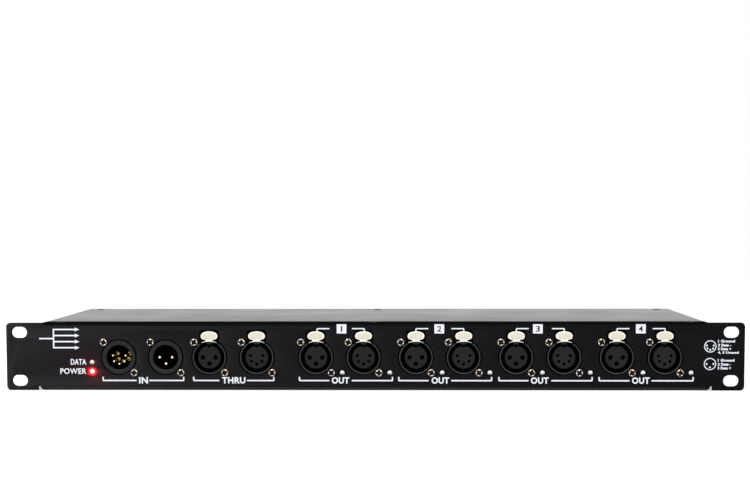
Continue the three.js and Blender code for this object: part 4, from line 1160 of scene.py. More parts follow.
    def insert_form(self) -> Form:
        """The insert of a latched socket: a round block with a key notch and contact holes.

        Returns:
            The form.
        """
        form = Form()
        notch, front, back = 1.1, 0.1, 10.0
        edge = math.asin(notch / self.insert)
        angle = np.linspace(edge, 2 * np.pi - edge, 89)
        body = np.stack([self.insert * np.sin(angle), self.insert * np.cos(angle)], axis=1)
        bow = np.linspace(-np.pi / 2, np.pi / 2, 9)
        bottom = np.stack([notch * np.sin(bow), 7.0 - 0.6 * np.cos(bow)], axis=1)
        outline = np.vstack([body, bottom]) + [self.x, self.z]
        radius = 1.58 if self.contacts is Contacts.THREE else 1.05
        holes = [circle(radius, 24, self.x + a, self.z + b) for a, b in self.contact_places()]
        form.slab(outline, front, back, holes=holes, rim=0.45, hole_rim=0.14)
        core = np.array([
            [0.5, back], [self.insert, back], [self.insert, self.end], [0.5, self.end]])
        form.turned(core, self.x, self.z, 72)
        self.add_terminals(form)
        return form

    def add_terminals(self, form: Form) -> None:
        """Adds the flat block at the socket's back that holds its board terminals."""
        form.block((self.x - 5.5, self.end - 2.0, self.z - self.foot),
                   (self.x + 5.5, self.end, self.z + 4.1), 0.2)

    def latch_form(self) -> Form:
        """The latch's plated front: an oval tab, a short neck and a thin band over the ring.

        The tab's outline is |x / a|^n + |z / b|^n = 1, rounder above than below. Its face is
        sunk a little in the middle and falls away at the outline by the height times one minus
        (1 - s^7) to the power a third, s being the share of the way out. Its mark is one in the
        middle, which the plating paints duller, and nought at the rim, which carries a painted
        highlight. The band follows the ring's radius, and its thickness falls as a cosine from
        the middle to both ends.

        Returns:
            The form.
        """
        form = Form()
        half_w, middle, face_y, back_y = 5.55, 14.15, -1.0, 0.4
        angle = np.arange(72) * (2 * np.pi / 72)
        upper = np.sin(angle) > 0
        power, half_h = np.where(upper, 2.1, 2.7), np.where(upper, 3.0, 2.75)
        norm = (np.abs(np.cos(angle)) ** power + np.abs(np.sin(angle)) ** power) ** (-1 / power)
        out_x, out_z = half_w * np.cos(angle) * norm, half_h * np.sin(angle) * norm
        share = np.concatenate([np.linspace(0.05, 0.7, 6), np.linspace(0.76, 1.0, 9)])[:, None]
        fall = 1 - np.clip(1 - share ** 7, 0, 1) ** (1 / 3)
        dish = 0.16 * np.clip(1 - (share / 0.86) ** 6, 0, 1)
        face = face_y + 0.75 * fall + dish
        rows = np.stack([self.x + out_x * share, face + 0 * angle, self.z + middle + out_z * share],
                        axis=-1)
        back = rows[-1:].copy()
        back[..., 1] = back_y
        # Mark for the tab's duller painted middle; the rim around it keeps the painted highlight.
        painted_dull_middle = np.clip((0.88 - share) / 0.1, 0, 1) + 0 * angle
        form.loft(np.concatenate([rows, back]), mark=np.vstack([painted_dull_middle, 0 * angle]))
        reach, near, neck = 5.0, 2.45, 2.3
        side = np.linspace(near, reach, 8)
        over = np.linspace(reach, -reach, 21)
        top = np.sqrt(self.ring ** 2 - side ** 2)
        thick = 0.2 + 0.3 * np.cos(over / reach * np.pi / 2)
        low = np.sqrt(self.ring ** 2 - over ** 2) - thick
        band = np.vstack([
            np.stack([-side[::-1], top[::-1]], axis=1),
            [[-neck, 11.1], [-neck, 12.0], [neck, 12.0], [neck, 11.1]],
            np.stack([side, top], axis=1), np.stack([over, low], axis=1)])
        form.slab(band + [self.x, self.z], -0.85, back_y, rim=0.1)
        return form

    def hook_form(self) -> Form:
        """The part of the latch behind its band, painted dark as shade: the stem, the tooth and the
        pivot pin.

        Returns:
            The form.
        """
        form = Form()
        half, pin_half, pin_radius, pin_y, pin_z = 1.8, 4.5, 0.8, 5.0, 10.35
        stem, tooth = (0.3, 5.8, 9.6, 11.1), (1.8, 3.4, 8.45, 9.7)
        for start, end, low, top in (stem, tooth):
            form.block((self.x - half, start, self.z + low), (self.x + half, end, self.z + top),
                       0.15)
        pin = circle(pin_radius, 20, pin_y, self.z + pin_z)
        form.slab(pin, self.x - pin_half, self.x + pin_half, axis=Axis.X, rim=0.1)
        return form

    def carrier_form(self) -> Form:
        """The round block that holds a plug-in socket's contacts, as a turned profile.

        Returns:
            The form.
        """
        form = Form()
        radius, core = self.male_bore - 0.3, 0.4
        disc = rounded(np.array([
            [core, self.base], [radius, self.base], [radius, self.end], [core, self.end]]),
            [0, 0.3, 0.3, 0], 3, closed=False)
        form.turned(disc, self.x, self.z, 72)
        self.add_terminals(form)
        return form

    def contact_forms(self) -> tuple[Form, Form]:
        """The contacts: turned pins with a rounded nose, and the wider collars at the carrier.

        Returns:
            The pins and the collars.
        """
        pins, collars = Form(), Form()
        three = self.contacts is Contacts.THREE
        radius = 1.05 if three else 0.82
        collar = radius * (1.15 if three else 1.65)
        core, nose = radius * 0.12, radius * 0.7
        tip, full, end = 0.8, 1.6, self.base + 0.3
        pin_end, collar_start = end - 1.5, end - 1.6
        pin = rounded(np.array([
            [core, tip], [nose, tip], [radius, full], [radius, pin_end], [core, pin_end]]),
            [0, radius * 0.3, radius * 0.4, 0.02, 0], 4, closed=False)
        rim = rounded(np.array([
            [core, collar_start], [collar, collar_start], [collar, end], [core, end]]),
            [0, 0.25, 0, 0], 4, closed=False)
        for a, b in self.contact_places():
            pins.turned(pin, self.x + a, self.z + b, 28)
            collars.turned(rim, self.x + a, self.z + b, 28)
        return pins, collars

    def build(self, bench: Bench) -> None:
        """Fits all pieces of the socket.

        Args:
            bench: Where the pieces are fitted.
        """
        coat = SHELL_COAT if self.male else THIN_SHELL_COAT
        shell = f"{self.name}_shell"
        bench.fit(self.lip_form(), f"{self.name}_ring", coat, stands_for=(shell,))
        bench.fit(self.barrel_form(), f"{self.name}_barrel", SHADED_BARREL)
        if self.male:
            pins = f"{self.name}_pins"
            noses, collars = self.contact_forms()
            bench.fit(noses, f"{self.name}_contacts", HIGHLIT_GOLD, stands_for=(pins,))
            bench.fit(collars, f"{self.name}_collars", DEEP_GOLD)
            bench.fit(self.carrier_form(), f"{self.name}_carrier", CARRIER_MOULDING)
        else:
            bench.fit(self.insert_form(), f"{self.name}_block", INSERT_MOULDING,
                      stands_for=(f"{self.name}_insert",))
            bench.fit(self.latch_form(), f"{self.name}_tab", LATCH_PLATING,
                      body=f"{self.name}_latch_tab", stands_for=(f"{self.name}_latch",))
            bench.fit(self.hook_form(), f"{self.name}_hook", SHADED_HOOK_STEEL,
                      body=f"{self.name}_latch_tab")
        for place, (side, turn) in enumerate(zip((-1, 1), self.turns)):
            form = Form()
            x, z = self.x + side * self.screw_offset, self.z - side * self.screw_offset
            screw_head(form, (x, 0.0, z), (0, -1, 0), self.screw_radius, self.screw_height,
                       self.screw_shank, turn)
            bench.fit(form, f"{self.name}_screw_{place + 1}", SCREW_PLATING)


@dataclass
class Lamp:
    """A small round lamp in the panel: a domed lens on a collar, with two bent legs."""

    name: str
    x: float
    z: float
    finish: Lens
    slot: str
    reach: float = 2.3
    radius: float = 1.5
    proud: float = 1.3
    collar: float = 1.9
    collar_end: float = 4.2
    leg_half: float = 0.25
    leg_offset: float = 0.65
    floor: float = 8.7
    halo: float = 3.3

    def build(self, bench: Bench) -> None:
        """Fits the lens and its legs.

        The dome's height is the proud length times the root of one minus (r / R)^2. Its mark is
        the share of a hot core that falls off from the middle in a lit lamp, and in the others
        that of a darker patch, which falls off from a place below the middle: the dark cup
        inside and painted shade on the lower dome.

        Args:
            bench: Where the pieces are fitted.
        """
        form = Form()
        share = np.linspace(0.06, 1.0, 10)
        dome = np.stack([self.radius * share, -self.proud * np.sqrt(1 - share ** 2)], axis=1)
        stem = np.array([[self.radius, SHEET], [self.collar, SHEET],
                         [self.collar, self.collar_end], [0.2, self.collar_end]])
        profile = np.vstack([dome, stem])
        angle = np.arange(36) * (2 * np.pi / 36)
        a, b = profile[:, :1] * np.sin(angle), profile[:, :1] * np.cos(angle)
        if self.finish.glow:
            core, fade = 1.364, 0.62
            mark = np.clip(1 + (core - profile[:, :1]) / fade + 0 * a, 0, 1)
        else:
            # Darker lower patch: the cup inside the lens and painted shade.
            below, cup = 0.95, 0.75
            mark = np.clip(1.35 - np.hypot(a * 0.7, b + below) / cup, 0, 1)
        form.turned(profile, self.x, self.z, 36, mark=mark)
        half, end = self.leg_half, self.collar_end + self.reach
        for side in (-1, 1):
            x = self.x + side * self.leg_offset
            form.block((x - half, self.collar_end - 0.2, self.z - half),
                       (x + half, end, self.z + half))
            form.block((x - half, end - 2 * half, self.floor), (x + half, end, self.z + half))
        bench.fit(form, f"{self.name}_lens", self.finish, stands_for=(self.name,))


@dataclass
class Tray:
    """The folded tray: panel with ears, base, rear wall and the flanges under the cover."""

    sockets: list[Socket]
    lamps: list[Lamp]
    slot_x: float = 232.55
    slot_rise: float = 15.875
    slot_length: float = 10.0
    slot_height: float = 7.3
    relief: float = 3.7
    relief_height: float = 2.5
    ear_corner: float = 2.8
    rear_trim: float = 2.2
    inlet_x: float = -165.7
    inlet_size: tuple[float, float] = (27.4, 30.0)
    switch_x: float = -127.2
    switch_size: tuple[float, float] = (13.0, 19.0)
    opening_play: float = 0.3
    side_flange: float = 12.0
    side_margin: float = 3.0
    post_radius: float = 3.0
    post_foot: float = 1.2
    post_top: float = 7.1
    post_margin: float = 14.0
    board_posts: tuple[float, ...] = (-1.0, -0.5, 0.0, 0.5, 1.0)
    board_posts_y: tuple[float, ...] = (14.0, 61.0)
    supply_posts_x: tuple[float, ...] = (-107.7, -23.7)
    supply_posts_y: tuple[float, ...] = (85.0, 123.0)

    def panel_form(self, form: Form) -> None:
        """The flat of the panel and its ears, with every hole, slot and the bend reliefs.

        The right half's corners are listed with their radii and mirrored for the left half. The
        rim is rolled everywhere but along the two bends, where the folds carry on.

        Args:
            form: The piece to add to.
        """
        w, b, h = PANEL_HALF, BOX_HALF, PANEL_HEIGHT
        far, top, ear, nick = b + self.relief, self.relief_height, self.ear_corner, 0.25
        right = np.array([
            [b + 0.1, BEND, 0], [b + 0.1, 0.2, 0], [b + 2.2, 1.3, nick], [b + 2.5, top, nick],
            [far, top, nick], [far, 0, nick], [w, 0, ear], [w, h, ear], [b, h, 0],
            [b, h - BEND, 0]])
        both = np.vstack([right, right[::-1] * [-1, 1, 1]])
        outline = rounded(both[:, :2], both[:, 2], 6)
        on_bend = (np.abs(outline[:, 0]) < b + 0.15) & (
            (outline[:, 1] < BEND + 0.01) | (np.abs(outline[:, 1] - h + BEND) < 0.01))
        soft = np.where(on_bend, 0.0, 1.0)
        holes: list[Array] = []
        for socket in self.sockets:
            holes.append(self.socket_hole(socket))
        for lamp in self.lamps:
            holes.append(circle(lamp.radius + 0.15, 24, lamp.x, lamp.z))
        for side in (-1, 1):
            for level in (-1, 1):
                x, z = side * self.slot_x, h / 2 + level * self.slot_rise
                long, high = self.slot_length / 2, self.slot_height / 2
                holes.append(rounded(
                    rectangle(x - long, z - high, x + long, z + high), high * 0.995, 10))
        form.slab(outline, 0.0, SHEET, holes=holes, rim=0.22, hole_rim=0.16, soft=soft)

    def socket_hole(self, socket: Socket) -> Array:
        """A socket's hole: a circle, with a round-cornered window on top for a latch.

        Args:
            socket: The socket.

        Returns:
            Array (n, 2) in x and z.
        """
        if socket.male:
            return circle(HOLE_RADIUS, 96, socket.x, socket.z)
        half, top, corner = 6.5, 18.05, 2.0
        start = math.asin(half / HOLE_RADIUS)
        angle = np.linspace(start, 2 * np.pi - start, 90)
        round_part = HOLE_RADIUS * np.stack([np.sin(angle), np.cos(angle)], axis=1)
        window = rounded(np.array([
            [-half, HOLE_RADIUS * math.cos(start) + 0.3], [-half, top], [half, top],
            [half, HOLE_RADIUS * math.cos(start) + 0.3]]), [0, corner, corner, 0], 6, closed=False)
        return np.vstack([round_part, window]) + [socket.x, socket.z]

    def fold_forms(self) -> tuple[Form, Form]:
        """The bends, base and flanges: outlines in y and z carried along x.

        Returns:
            The front flange, and the base with its bends and the rear flange.
        """
        b, h, low, d = BOX_HALF, PANEL_HEIGHT, REAR_HEIGHT, BOX_DEPTH
        flange, base = Form(), Form()
        front = folded([[FLANGE, h], [0, h], [0, h - BEND]], SHEET, BEND - 0.01)
        flange.slab(front, -b, b, axis=Axis.X)
        under = folded([[0, BEND], [0, 0], [d, 0], [d, BEND]], SHEET, BEND - 0.01)
        base.slab(under, -b, b, axis=Axis.X)
        rear = folded([[d, low - BEND], [d, low], [d - FLANGE, low]], SHEET, BEND - 0.01)
        base.slab(rear, self.rear_trim - b, b - self.rear_trim, axis=Axis.X)
        return flange, base

    def rear_form(self, form: Form) -> None:
        """The flat of the rear wall, with the openings of the inlet and the switch.

        Args:
            form: The piece to add to.
        """
        d, middle, play = BOX_DEPTH, PANEL_HEIGHT / 2, self.opening_play
        holes = [
            rectangle(x - w / 2 - play, middle - h / 2 - play,
                      x + w / 2 + play, middle + h / 2 + play)
            for x, (w, h) in ((self.inlet_x, self.inlet_size), (self.switch_x, self.switch_size))]
        wall = rectangle(-BOX_HALF, BEND, BOX_HALF, REAR_HEIGHT - BEND)
        form.slab(wall, d, d - SHEET, holes=holes)

    def inner_form(self, form: Form) -> None:
        """The low side flanges and the posts under the two boards.

        Args:
            form: The piece to add to.
        """
        for side in (-1, 1):
            edges = sorted([side * (BOX_HALF - SHEET), side * BOX_HALF])
            strip = rectangle(self.side_margin, 0.3, BOX_DEPTH - self.side_margin,
                              self.side_flange, 0.2)
            form.slab(strip, edges[0], edges[1], axis=Axis.X, rim=0.15)
        reach = BOX_HALF - self.post_margin
        places = [(share * reach, y) for share in self.board_posts for y in self.board_posts_y]
        places += [(x, y) for x in self.supply_posts_x for y in self.supply_posts_y]
        for x, y in places:
            post = circle(self.post_radius, 6, x, y)
            form.slab(post, self.post_foot, self.post_top, axis=Axis.Z, rim=0.2)

    def build(self, bench: Bench) -> bpy.types.Object:
        """Fits the tray in three pieces: the front flange, the base, and the rest.

        Args:
            bench: Where the pieces are fitted.

        Returns:
            The piece with the panel.
        """
        form = Form()
        self.panel_form(form)
        flange, base = self.fold_forms()
        # The front flange in the coat without sheen, as painted shade.
        bench.fit(flange, "tray_front_flange", SHADED_FLANGE_COAT)
        # The base in the lighter copy of the coat, as a painted highlight on the lower bend.
        bench.fit(base, "tray_base", LIT_BASE_COAT)
        self.rear_form(form)
        self.inner_form(form)
        return bench.fit(form, "tray_with_panel", PANEL_COAT, stands_for=("chassis_tray",))


@dataclass
class Cover:
    """The lid, flush with the tray's front flange, with its side walls and its ten screws."""

    half: float = 218.0
    top: float = PANEL_HEIGHT
    lift: float = 0.5
    bend: float = 1.5
    side_start: float = 1.8
    gap: float = 0.3
    lip_start: float = 4.5
    lip_trim: float = 3.0
    lip_bend: float = 0.9
    screw_radius: float = 2.9
    screw_height: float = 0.4
    screw_shank: float = 4.0
    top_screws_x: tuple[float, ...] = (-207.2, 0.0, 207.2)
    top_screws_y: tuple[float, ...] = (9.0, 131.0)
    side_screws_y: tuple[float, ...] = (30.0, 110.0)
    side_screws_z: float = 8.0
    screw_turns: tuple[float, ...] = (0.3, 0.9, 0.1, 1.2, 0.7, 0.5, 0.2, 1.0, 0.6, 0.8)

    def sheet_form(self) -> Form:
        """The bent sheet behind the flange, the side walls beside it and the lip under it.

        Returns:
            The form.
        """
        form = Form()
        start, t = FLANGE + self.gap, COVER_SHEET
        outline = folded([
            [self.half, self.lift], [self.half, self.top], [-self.half, self.top],
            [-self.half, self.lift]], t, self.bend, 8)
        form.slab(outline, start, BOX_DEPTH, rim=0.45, steps=5)
        for side in (-1, 1):
            edges = sorted([side * (self.half - t), side * self.half])
            wall = rectangle(self.side_start, self.lift, start + t, self.top, 0.3)
            form.slab(wall, edges[0], edges[1], axis=Axis.X, rim=0.15)
        half, under = BOX_HALF - self.lip_trim, self.top - SHEET
        lip = folded([[self.lip_start, under - t], [start + t, under - t],
                      [start + t, self.top - 0.5]], t, self.lip_bend, 6)
        form.slab(lip, -half, half, axis=Axis.X)
        return form

    def build(self, bench: Bench) -> None:
        """Fits the sheet and the screws.

        Args:
            bench: Where the pieces are fitted.
        """
        bench.fit(self.sheet_form(), "cover_sheet", COVER_COAT, stands_for=("top_cover",))
        seats = [((x, y, self.top), (0, 0, 1)) for x in self.top_screws_x
                 for y in self.top_screws_y]
        seats += [((side * self.half, y, self.side_screws_z), (side, 0, 0)) for side in (-1, 1)
                  for y in self.side_screws_y]
        for count, ((seat, out), turn) in enumerate(zip(seats, self.screw_turns), 1):
            form = Form()
            screw_head(form, seat, out, self.screw_radius, self.screw_height, self.screw_shank,
                       turn)
            bench.fit(form, f"cover_screw_{count}", BLACK_SCREW)


@dataclass
class Print:
    """The white print on the panel: brackets, words, numbers and the contact key."""

    sockets: list[Socket]
    proud: float = 0.035
    line: float = 0.9
    thin_line: float = 0.74
    upper_run: float = 8.0
    middle: float = SIGHT_Z
    bracket_shift: dict[str, float] = field(
        default_factory=lambda: {"out1_3pin": 0.8, "out1_5pin": 0.5})

    def mark_line(self, form: Form, path: list[tuple[float, float]], width: float | None = None,
                  corner: float = 0.45) -> None:
        """A printed line along a path, heights counted from the print's own middle line.

        Args:
            form: The piece to add to.
            path: Corners of the line's middle.
            width: Its width, or None for the usual one.
            corner: Radius of its corners.
        """
        points = np.array(path, float) + [0, self.middle]
        if len(points) > 2:
            points = rounded(points, corner, 3, closed=False)
        form.slab(stroke(points, width or self.line), INK_SINK, -self.proud)

    def brackets(self, bench: Bench) -> None:
        """The lower brackets with their upturned ends and the upper ones down to the latches.

        Args:
            bench: Where the piece is fitted.
        """
        form = Form()
        low, tick, half = -16.0, -13.55, 0.45
        spans = [(-178.17, -155.66, -147.17, -124.16), (-118.44, -101.1, -82.98, -64.87),
                 (-49.0, -28.95, -14.28, 12.81), (16.08, 35.96, 50.72, 77.56),
                 (81.41, 101.1, 116.0, 142.94), (146.59, 166.77, 181.14, 208.5)]
        for left, gap_left, gap_right, right in spans:
            self.mark_line(form, [(left + half, tick), (left + half, low), (gap_left, low)])
            self.mark_line(form, [(gap_right, low), (right - half, low), (right - half, tick)])
        upper, foot = 18.1, 15.2
        for socket in self.sockets:
            if not socket.name.startswith("out"):
                continue
            way = 1 if socket.contacts is Contacts.THREE else -1
            x = socket.x + self.bracket_shift.get(socket.name, 0.0)
            self.mark_line(form, [(x, foot), (x, upper), (x + way * self.upper_run, upper)],
                           self.thin_line)
        bench.fit(form, "print_brackets", INK)

    def words(self, bench: Bench) -> None:
        """The words between the brackets and beside the two lamps.

        Args:
            bench: Where the piece is fitted.
        """
        form = Form()
        low, high, bold = -18.0, -13.75, 0.035
        between = [("IN", -154.08, -148.16), ("THRU", -99.39, -84.03), ("OUT", -27.38, -15.85),
                   ("OUT", 37.92, 49.48), ("OUT", 102.7, 114.3), ("OUT", 168.46, 179.9)]
        places = [(word, left, right, low, high, bold) for word, left, right in between]
        places += [("DATA", -198.9, -188.7, -5.6, -1.85, 0.02),
                   ("POWER", -205.9, -188.7, -11.7, -7.95, 0.02)]
        for word, left, right, foot, head, weight in places:
            lettering(form, word, (left, self.middle + foot), (right, self.middle + head), weight,
                      self.proud)
        bench.fit(form, "print_words", INK)

    def numbers(self, bench: Bench) -> None:
        """The numbered boxes between the latches of each output pair.

        Args:
            bench: Where the pieces are fitted.
        """
        boxes, digits = Form(), Form()
        low, high, half, margin = self.middle + 14.95, self.middle + 20.95, 3.15, 1.1
        for number, x in enumerate((-20.85, 42.91, 107.03, 173.8), 1):
            boxes.slab(rectangle(x - half, low, x + half, high, 0.15), INK_SINK, -self.proud)
            thin = 0.5 if number == 1 else 1.5
            lettering(digits, str(number), (x - thin, low + margin), (x + thin, high - margin),
                      0.02, self.proud + 0.02)
        bench.fit(boxes, "print_number_boxes", INK)
        bench.fit(digits, "print_numbers", DARK_INK)

    def contact_key(self, bench: Bench) -> None:
        """The two round contact diagrams with their lists at the right end of the panel.

        Args:
            bench: Where the piece is fitted.
        """
        form = Form()
        m, outer, inner, dot, scale = self.middle, 3.95, 3.4, 0.58, 0.53
        for x, z, contacts in ((218.9, 6.5, Contacts.FIVE), (218.83, -4.99, Contacts.THREE)):
            form.slab(circle(outer, 48, x, m + z), INK_SINK, -self.proud,
                      holes=[circle(inner, 48, x, m + z)])
            for a, b in Socket("key", 0.0, contacts).contact_places() * scale:
                form.slab(circle(dot, 14, x + a, m + z + b), INK_SINK, -self.proud)
        lines = [("1 Ground", 9.95, 234.8), ("2 Data -", 7.34, 232.4), ("3 Data +", 4.87, 232.4),
                 ("4, 5 Unused", 2.39, 237.3), ("1 Ground", -2.57, 234.6),
                 ("2 Data -", -5.18, 232.4), ("3 Data +", -7.66, 232.4)]
        left, half = 223.83, 0.9
        for text, z, right in lines:
            lettering(form, text, (left, m + z - half), (right, m + z + half), 0.045, self.proud)
        bench.fit(form, "print_contact_key", INK)

    def flow_sign(self, bench: Bench) -> None:
        """A plain sign of one line that parts into four, in the bare place at the left end.

        Args:
            bench: Where the piece is fitted.
        """
        form = Form()
        start, bar, neck, tip, barb = -219.5, -210.0, -196.0, -193.0, 1.25
        half, levels, entry = self.line / 2, (5.6, 9.6, 13.6, 17.6), 11.6
        self.mark_line(form, [(bar, levels[0] - half), (bar, levels[-1] + half)])
        self.mark_line(form, [(start, entry), (bar - half, entry)])
        for z in levels:
            self.mark_line(form, [(bar + half, z), (neck, z)])
            head = np.array([[neck, z - barb], [tip, z], [neck, z + barb]])
            form.slab(head + [0, self.middle], INK_SINK, -self.proud)
        bench.fit(form, "print_flow_sign", INK)

    def build(self, bench: Bench) -> None:
        """Fits all the print.

        Args:
            bench: Where the pieces are fitted.
        """
        self.brackets(bench)
        self.words(bench)
        self.numbers(bench)
        self.contact_key(bench)
        self.flow_sign(bench)


@dataclass
class Inside:
    """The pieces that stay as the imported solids: boards, supply, leads and rear fittings."""

    finishes: dict[str, tuple[Finish, float]] = field(default_factory=lambda: {
        "connector_board": (BOARD_MASK, 0.1),
        "power_board": (BOARD_MASK, 0.1),
        "supply_transformer": (FERRITE, 0.3),
        "smoothing_capacitor": (SLEEVE, 0.0),
        "heatsink": (BARE_ALUMINIUM, 0.15),
        "ribbon_cable": (RIBBON, 0.1),
        "mains_lead": (LEAD_SLEEVE, 0.0),
        "earth_lead": (EARTH_SLEEVE, 0.0),
        "earth_stud": (ZINC, 0.1),
        "mains_inlet": (BLACK_MOULDING, 0.25),
        "fuse_drawer": (BLACK_MOULDING, 0.2),
        "mains_fuse": (FUSE_GLASS, 0.0),
        "switch_body": (BLACK_MOULDING, 0.25),
        "switch_rocker": (ROCKER_GLOSS, 0.25),
    })

    def build(self, bench: Bench) -> None:
        """Dresses each node.

        Args:
            bench: Where the nodes are dressed.
        """
        for node, (finish, edge) in self.finishes.items():
            bench.dress(node, finish, edge)


# The studio


@dataclass
class Studio:
    """The pale floor, the soft light and the camera of the reference view."""

    bench: Bench
    focal: float = 1400.0
    image_width: float = 750.0
    sensor: float = 36.0
    pitch: float = 3.9441
    yaw: float = 1.2783
    roll: float = -0.1099
    shift: tuple[float, float, float] = (-0.9766, 27.7337, 914.8555)
    frame_shift: float = 0.0851
    floor_half: float = 6.0
    floor_grey: float = 0.86
    floor_lift: float = 0.16
    floor_shadow: float = 0.42
    floor_white: float = 1.0
    red: Colour = (1.0, 0.012, 0.012)
    red_lights: tuple[tuple[str, str, float, float], ...] = (
        ("lamp_glow", "POINT", 0.8, 0.17), ("lamp_halo", "SPOT", 2.0, 0.39))

    def camera(self) -> None:
        """The camera fitted to the panel's known sizes.

        World to camera is roll after pitch after yaw after the exchange of y and z; Blender's
        camera looks along its own minus z, so its y and z rows change sign.
        """
        turn = (Matrix.Rotation(math.radians(self.roll), 3, "Z")
                @ Matrix.Rotation(math.radians(self.pitch), 3, "X")
                @ Matrix.Rotation(math.radians(self.yaw), 3, "Y")
                @ Matrix(((1, 0, 0), (0, 0, -1), (0, 1, 0))))
        place = -(turn.transposed() @ Vector(self.shift))
        place = (place + Vector((0, 0, SIGHT_Z))) * METRE + Vector((0, self.bench.front, 0))
        own = (Matrix(((1, 0, 0), (0, -1, 0), (0, 0, -1))) @ turn).transposed().to_4x4()
        data = bpy.data.cameras.new("reference_camera")
        data.sensor_width = self.sensor
        data.lens = self.focal / self.image_width * self.sensor
        data.shift_y = self.frame_shift
        data.clip_start = 0.01
        data.clip_end = 50.0
        camera = bpy.data.objects.new("reference_camera", data)
        camera.matrix_world = Matrix.Translation(place) @ own
        bpy.context.scene.collection.objects.link(camera)
        bpy.context.scene.camera = camera

    def floor(self) -> None:
        """A plain pale floor: it keeps the shadow near the unit and is white farther away."""
        half, grey = self.floor_half, self.floor_grey
        mesh = bpy.data.meshes.new("floor")
        mesh.from_pydata([(-half, -half, 0), (half, -half, 0), (half, half, 0), (-half, half, 0)],
                         [], [(0, 1, 2, 3)])
        material = bpy.data.materials.new("pale_floor")
        material.use_nodes = True
        nodes = Nodes(material.node_tree)
        shader = material.node_tree.nodes["Principled BSDF"]
        shader.inputs["Base Color"].default_value = (grey, grey, grey, 1)
        shader.inputs["Roughness"].default_value = 0.9
        shader.inputs["Specular IOR Level"].default_value = 0.0
        path = nodes.add("ShaderNodeLightPath")
        seen = nodes.add("ShaderNodeMath", {0: path.outputs["Is Camera Ray"],
                                            1: path.outputs["Is Glossy Ray"]}, operation="MAXIMUM")
        lift = nodes.add("ShaderNodeMath", {0: seen.outputs[0], 1: self.floor_lift},
                         operation="MULTIPLY")
        shader.inputs["Emission Color"].default_value = (1, 1, 1, 1)
        links = material.node_tree.links
        links.new(lift.outputs[0], shader.inputs["Emission Strength"])
        where = nodes.add("ShaderNodeTexCoord").outputs["Object"]
        away = nodes.add("ShaderNodeVectorMath", {0: where}, operation="LENGTH").outputs["Value"]
        far = nodes.add("ShaderNodeMapRange", {
            "Value": away, "From Min": self.floor_shadow, "From Max": self.floor_white},
            interpolation_type="SMOOTHSTEP")
        share = nodes.add("ShaderNodeMath", {0: far.outputs[0], 1: seen.outputs[0]},
                          operation="MULTIPLY")
        white = nodes.add("ShaderNodeEmission")
        blend = nodes.add("ShaderNodeMixShader", {0: share.outputs[0], 1: shader.outputs[0],
                                                  2: white.outputs[0]})
        links.new(blend.outputs[0], material.node_tree.nodes["Material Output"].inputs["Surface"])
        mesh.materials.append(material)
        floor = bpy.data.objects.new("floor", mesh)
        bpy.context.scene.collection.objects.link(floor)

    def surroundings(self) -> None:
        """White surroundings behind the object, and a dimmer room on the camera's side."""
        world = bpy.data.worlds.new("studio")
        world.use_nodes = True
        bpy.context.scene.world = world
        nodes = Nodes(world.node_tree)
        back = world.node_tree.nodes["Background"]
        way = nodes.add("ShaderNodeTexCoord").outputs["Generated"]
        depth = nodes.add("ShaderNodeSeparateXYZ", {0: way}).outputs[1]
        room = nodes.add("ShaderNodeMapRange", {
            "Value": depth, "From Min": -0.5, "From Max": 0.3, "To Min": 0.62, "To Max": 1.0})
        path = nodes.add("ShaderNodeLightPath")
        clear = nodes.add("ShaderNodeMath", {0: path.outputs["Is Camera Ray"],
                                             1: path.outputs["Is Transmission Ray"]},
                          operation="MAXIMUM")
        seen = nodes.mix(path.outputs["Is Glossy Ray"], (0.55, 0.55, 0.55), room.outputs[0])
        strength = nodes.mix(clear.outputs[0], seen, (1.0, 1.0, 1.0))
        world.node_tree.links.new(strength, back.inputs["Color"])

    def softbox(self, name: str, place: tuple[float, float, float], aim: tuple[float, float, float],
                size: tuple[float, float], watts: float,
                only: bpy.types.Object | None = None) -> None:
        """A rectangular area light.

        Args:
            name: Its name.
            place: Its place in metres.
            aim: The point that it looks at.
            size: Width and height in metres.
            watts: Its power.
            only: The one piece that takes its light, or None for all of them.
        """
        data = bpy.data.lights.new(name, "AREA")
        data.shape = "RECTANGLE"
        data.size, data.size_y = size
        data.energy = watts
        lamp = bpy.data.objects.new(name, data)
        aim_way = (Vector(aim) - Vector(place)).to_track_quat("-Z", "Y")
        lamp.matrix_world = Matrix.Translation(place) @ aim_way.to_matrix().to_4x4()
        bpy.context.scene.collection.objects.link(lamp)
        if only is not None:
            self.shine_on(lamp, only)

    @staticmethod
    def shine_on(lamp: bpy.types.Object, piece: bpy.types.Object) -> None:
        """Lets one piece alone take a lamp's light.

        Args:
            lamp: The lamp.
            piece: The piece.
        """
        takers = bpy.data.collections.new("lit_by_" + lamp.name)
        takers.objects.link(piece)
        lamp.light_linking.receiver_collection = takers

    def side_light(self, panel: bpy.types.Object) -> None:
        """A soft light near the left end, so that the panel grows darker to the right.

        Args:
            panel: The only piece that takes the light.
        """
        self.softbox("left_fill", (-0.85, -0.62, 0.12), (-0.2, -0.07, 0.02), (0.5, 0.5), 37.0,
                     panel)

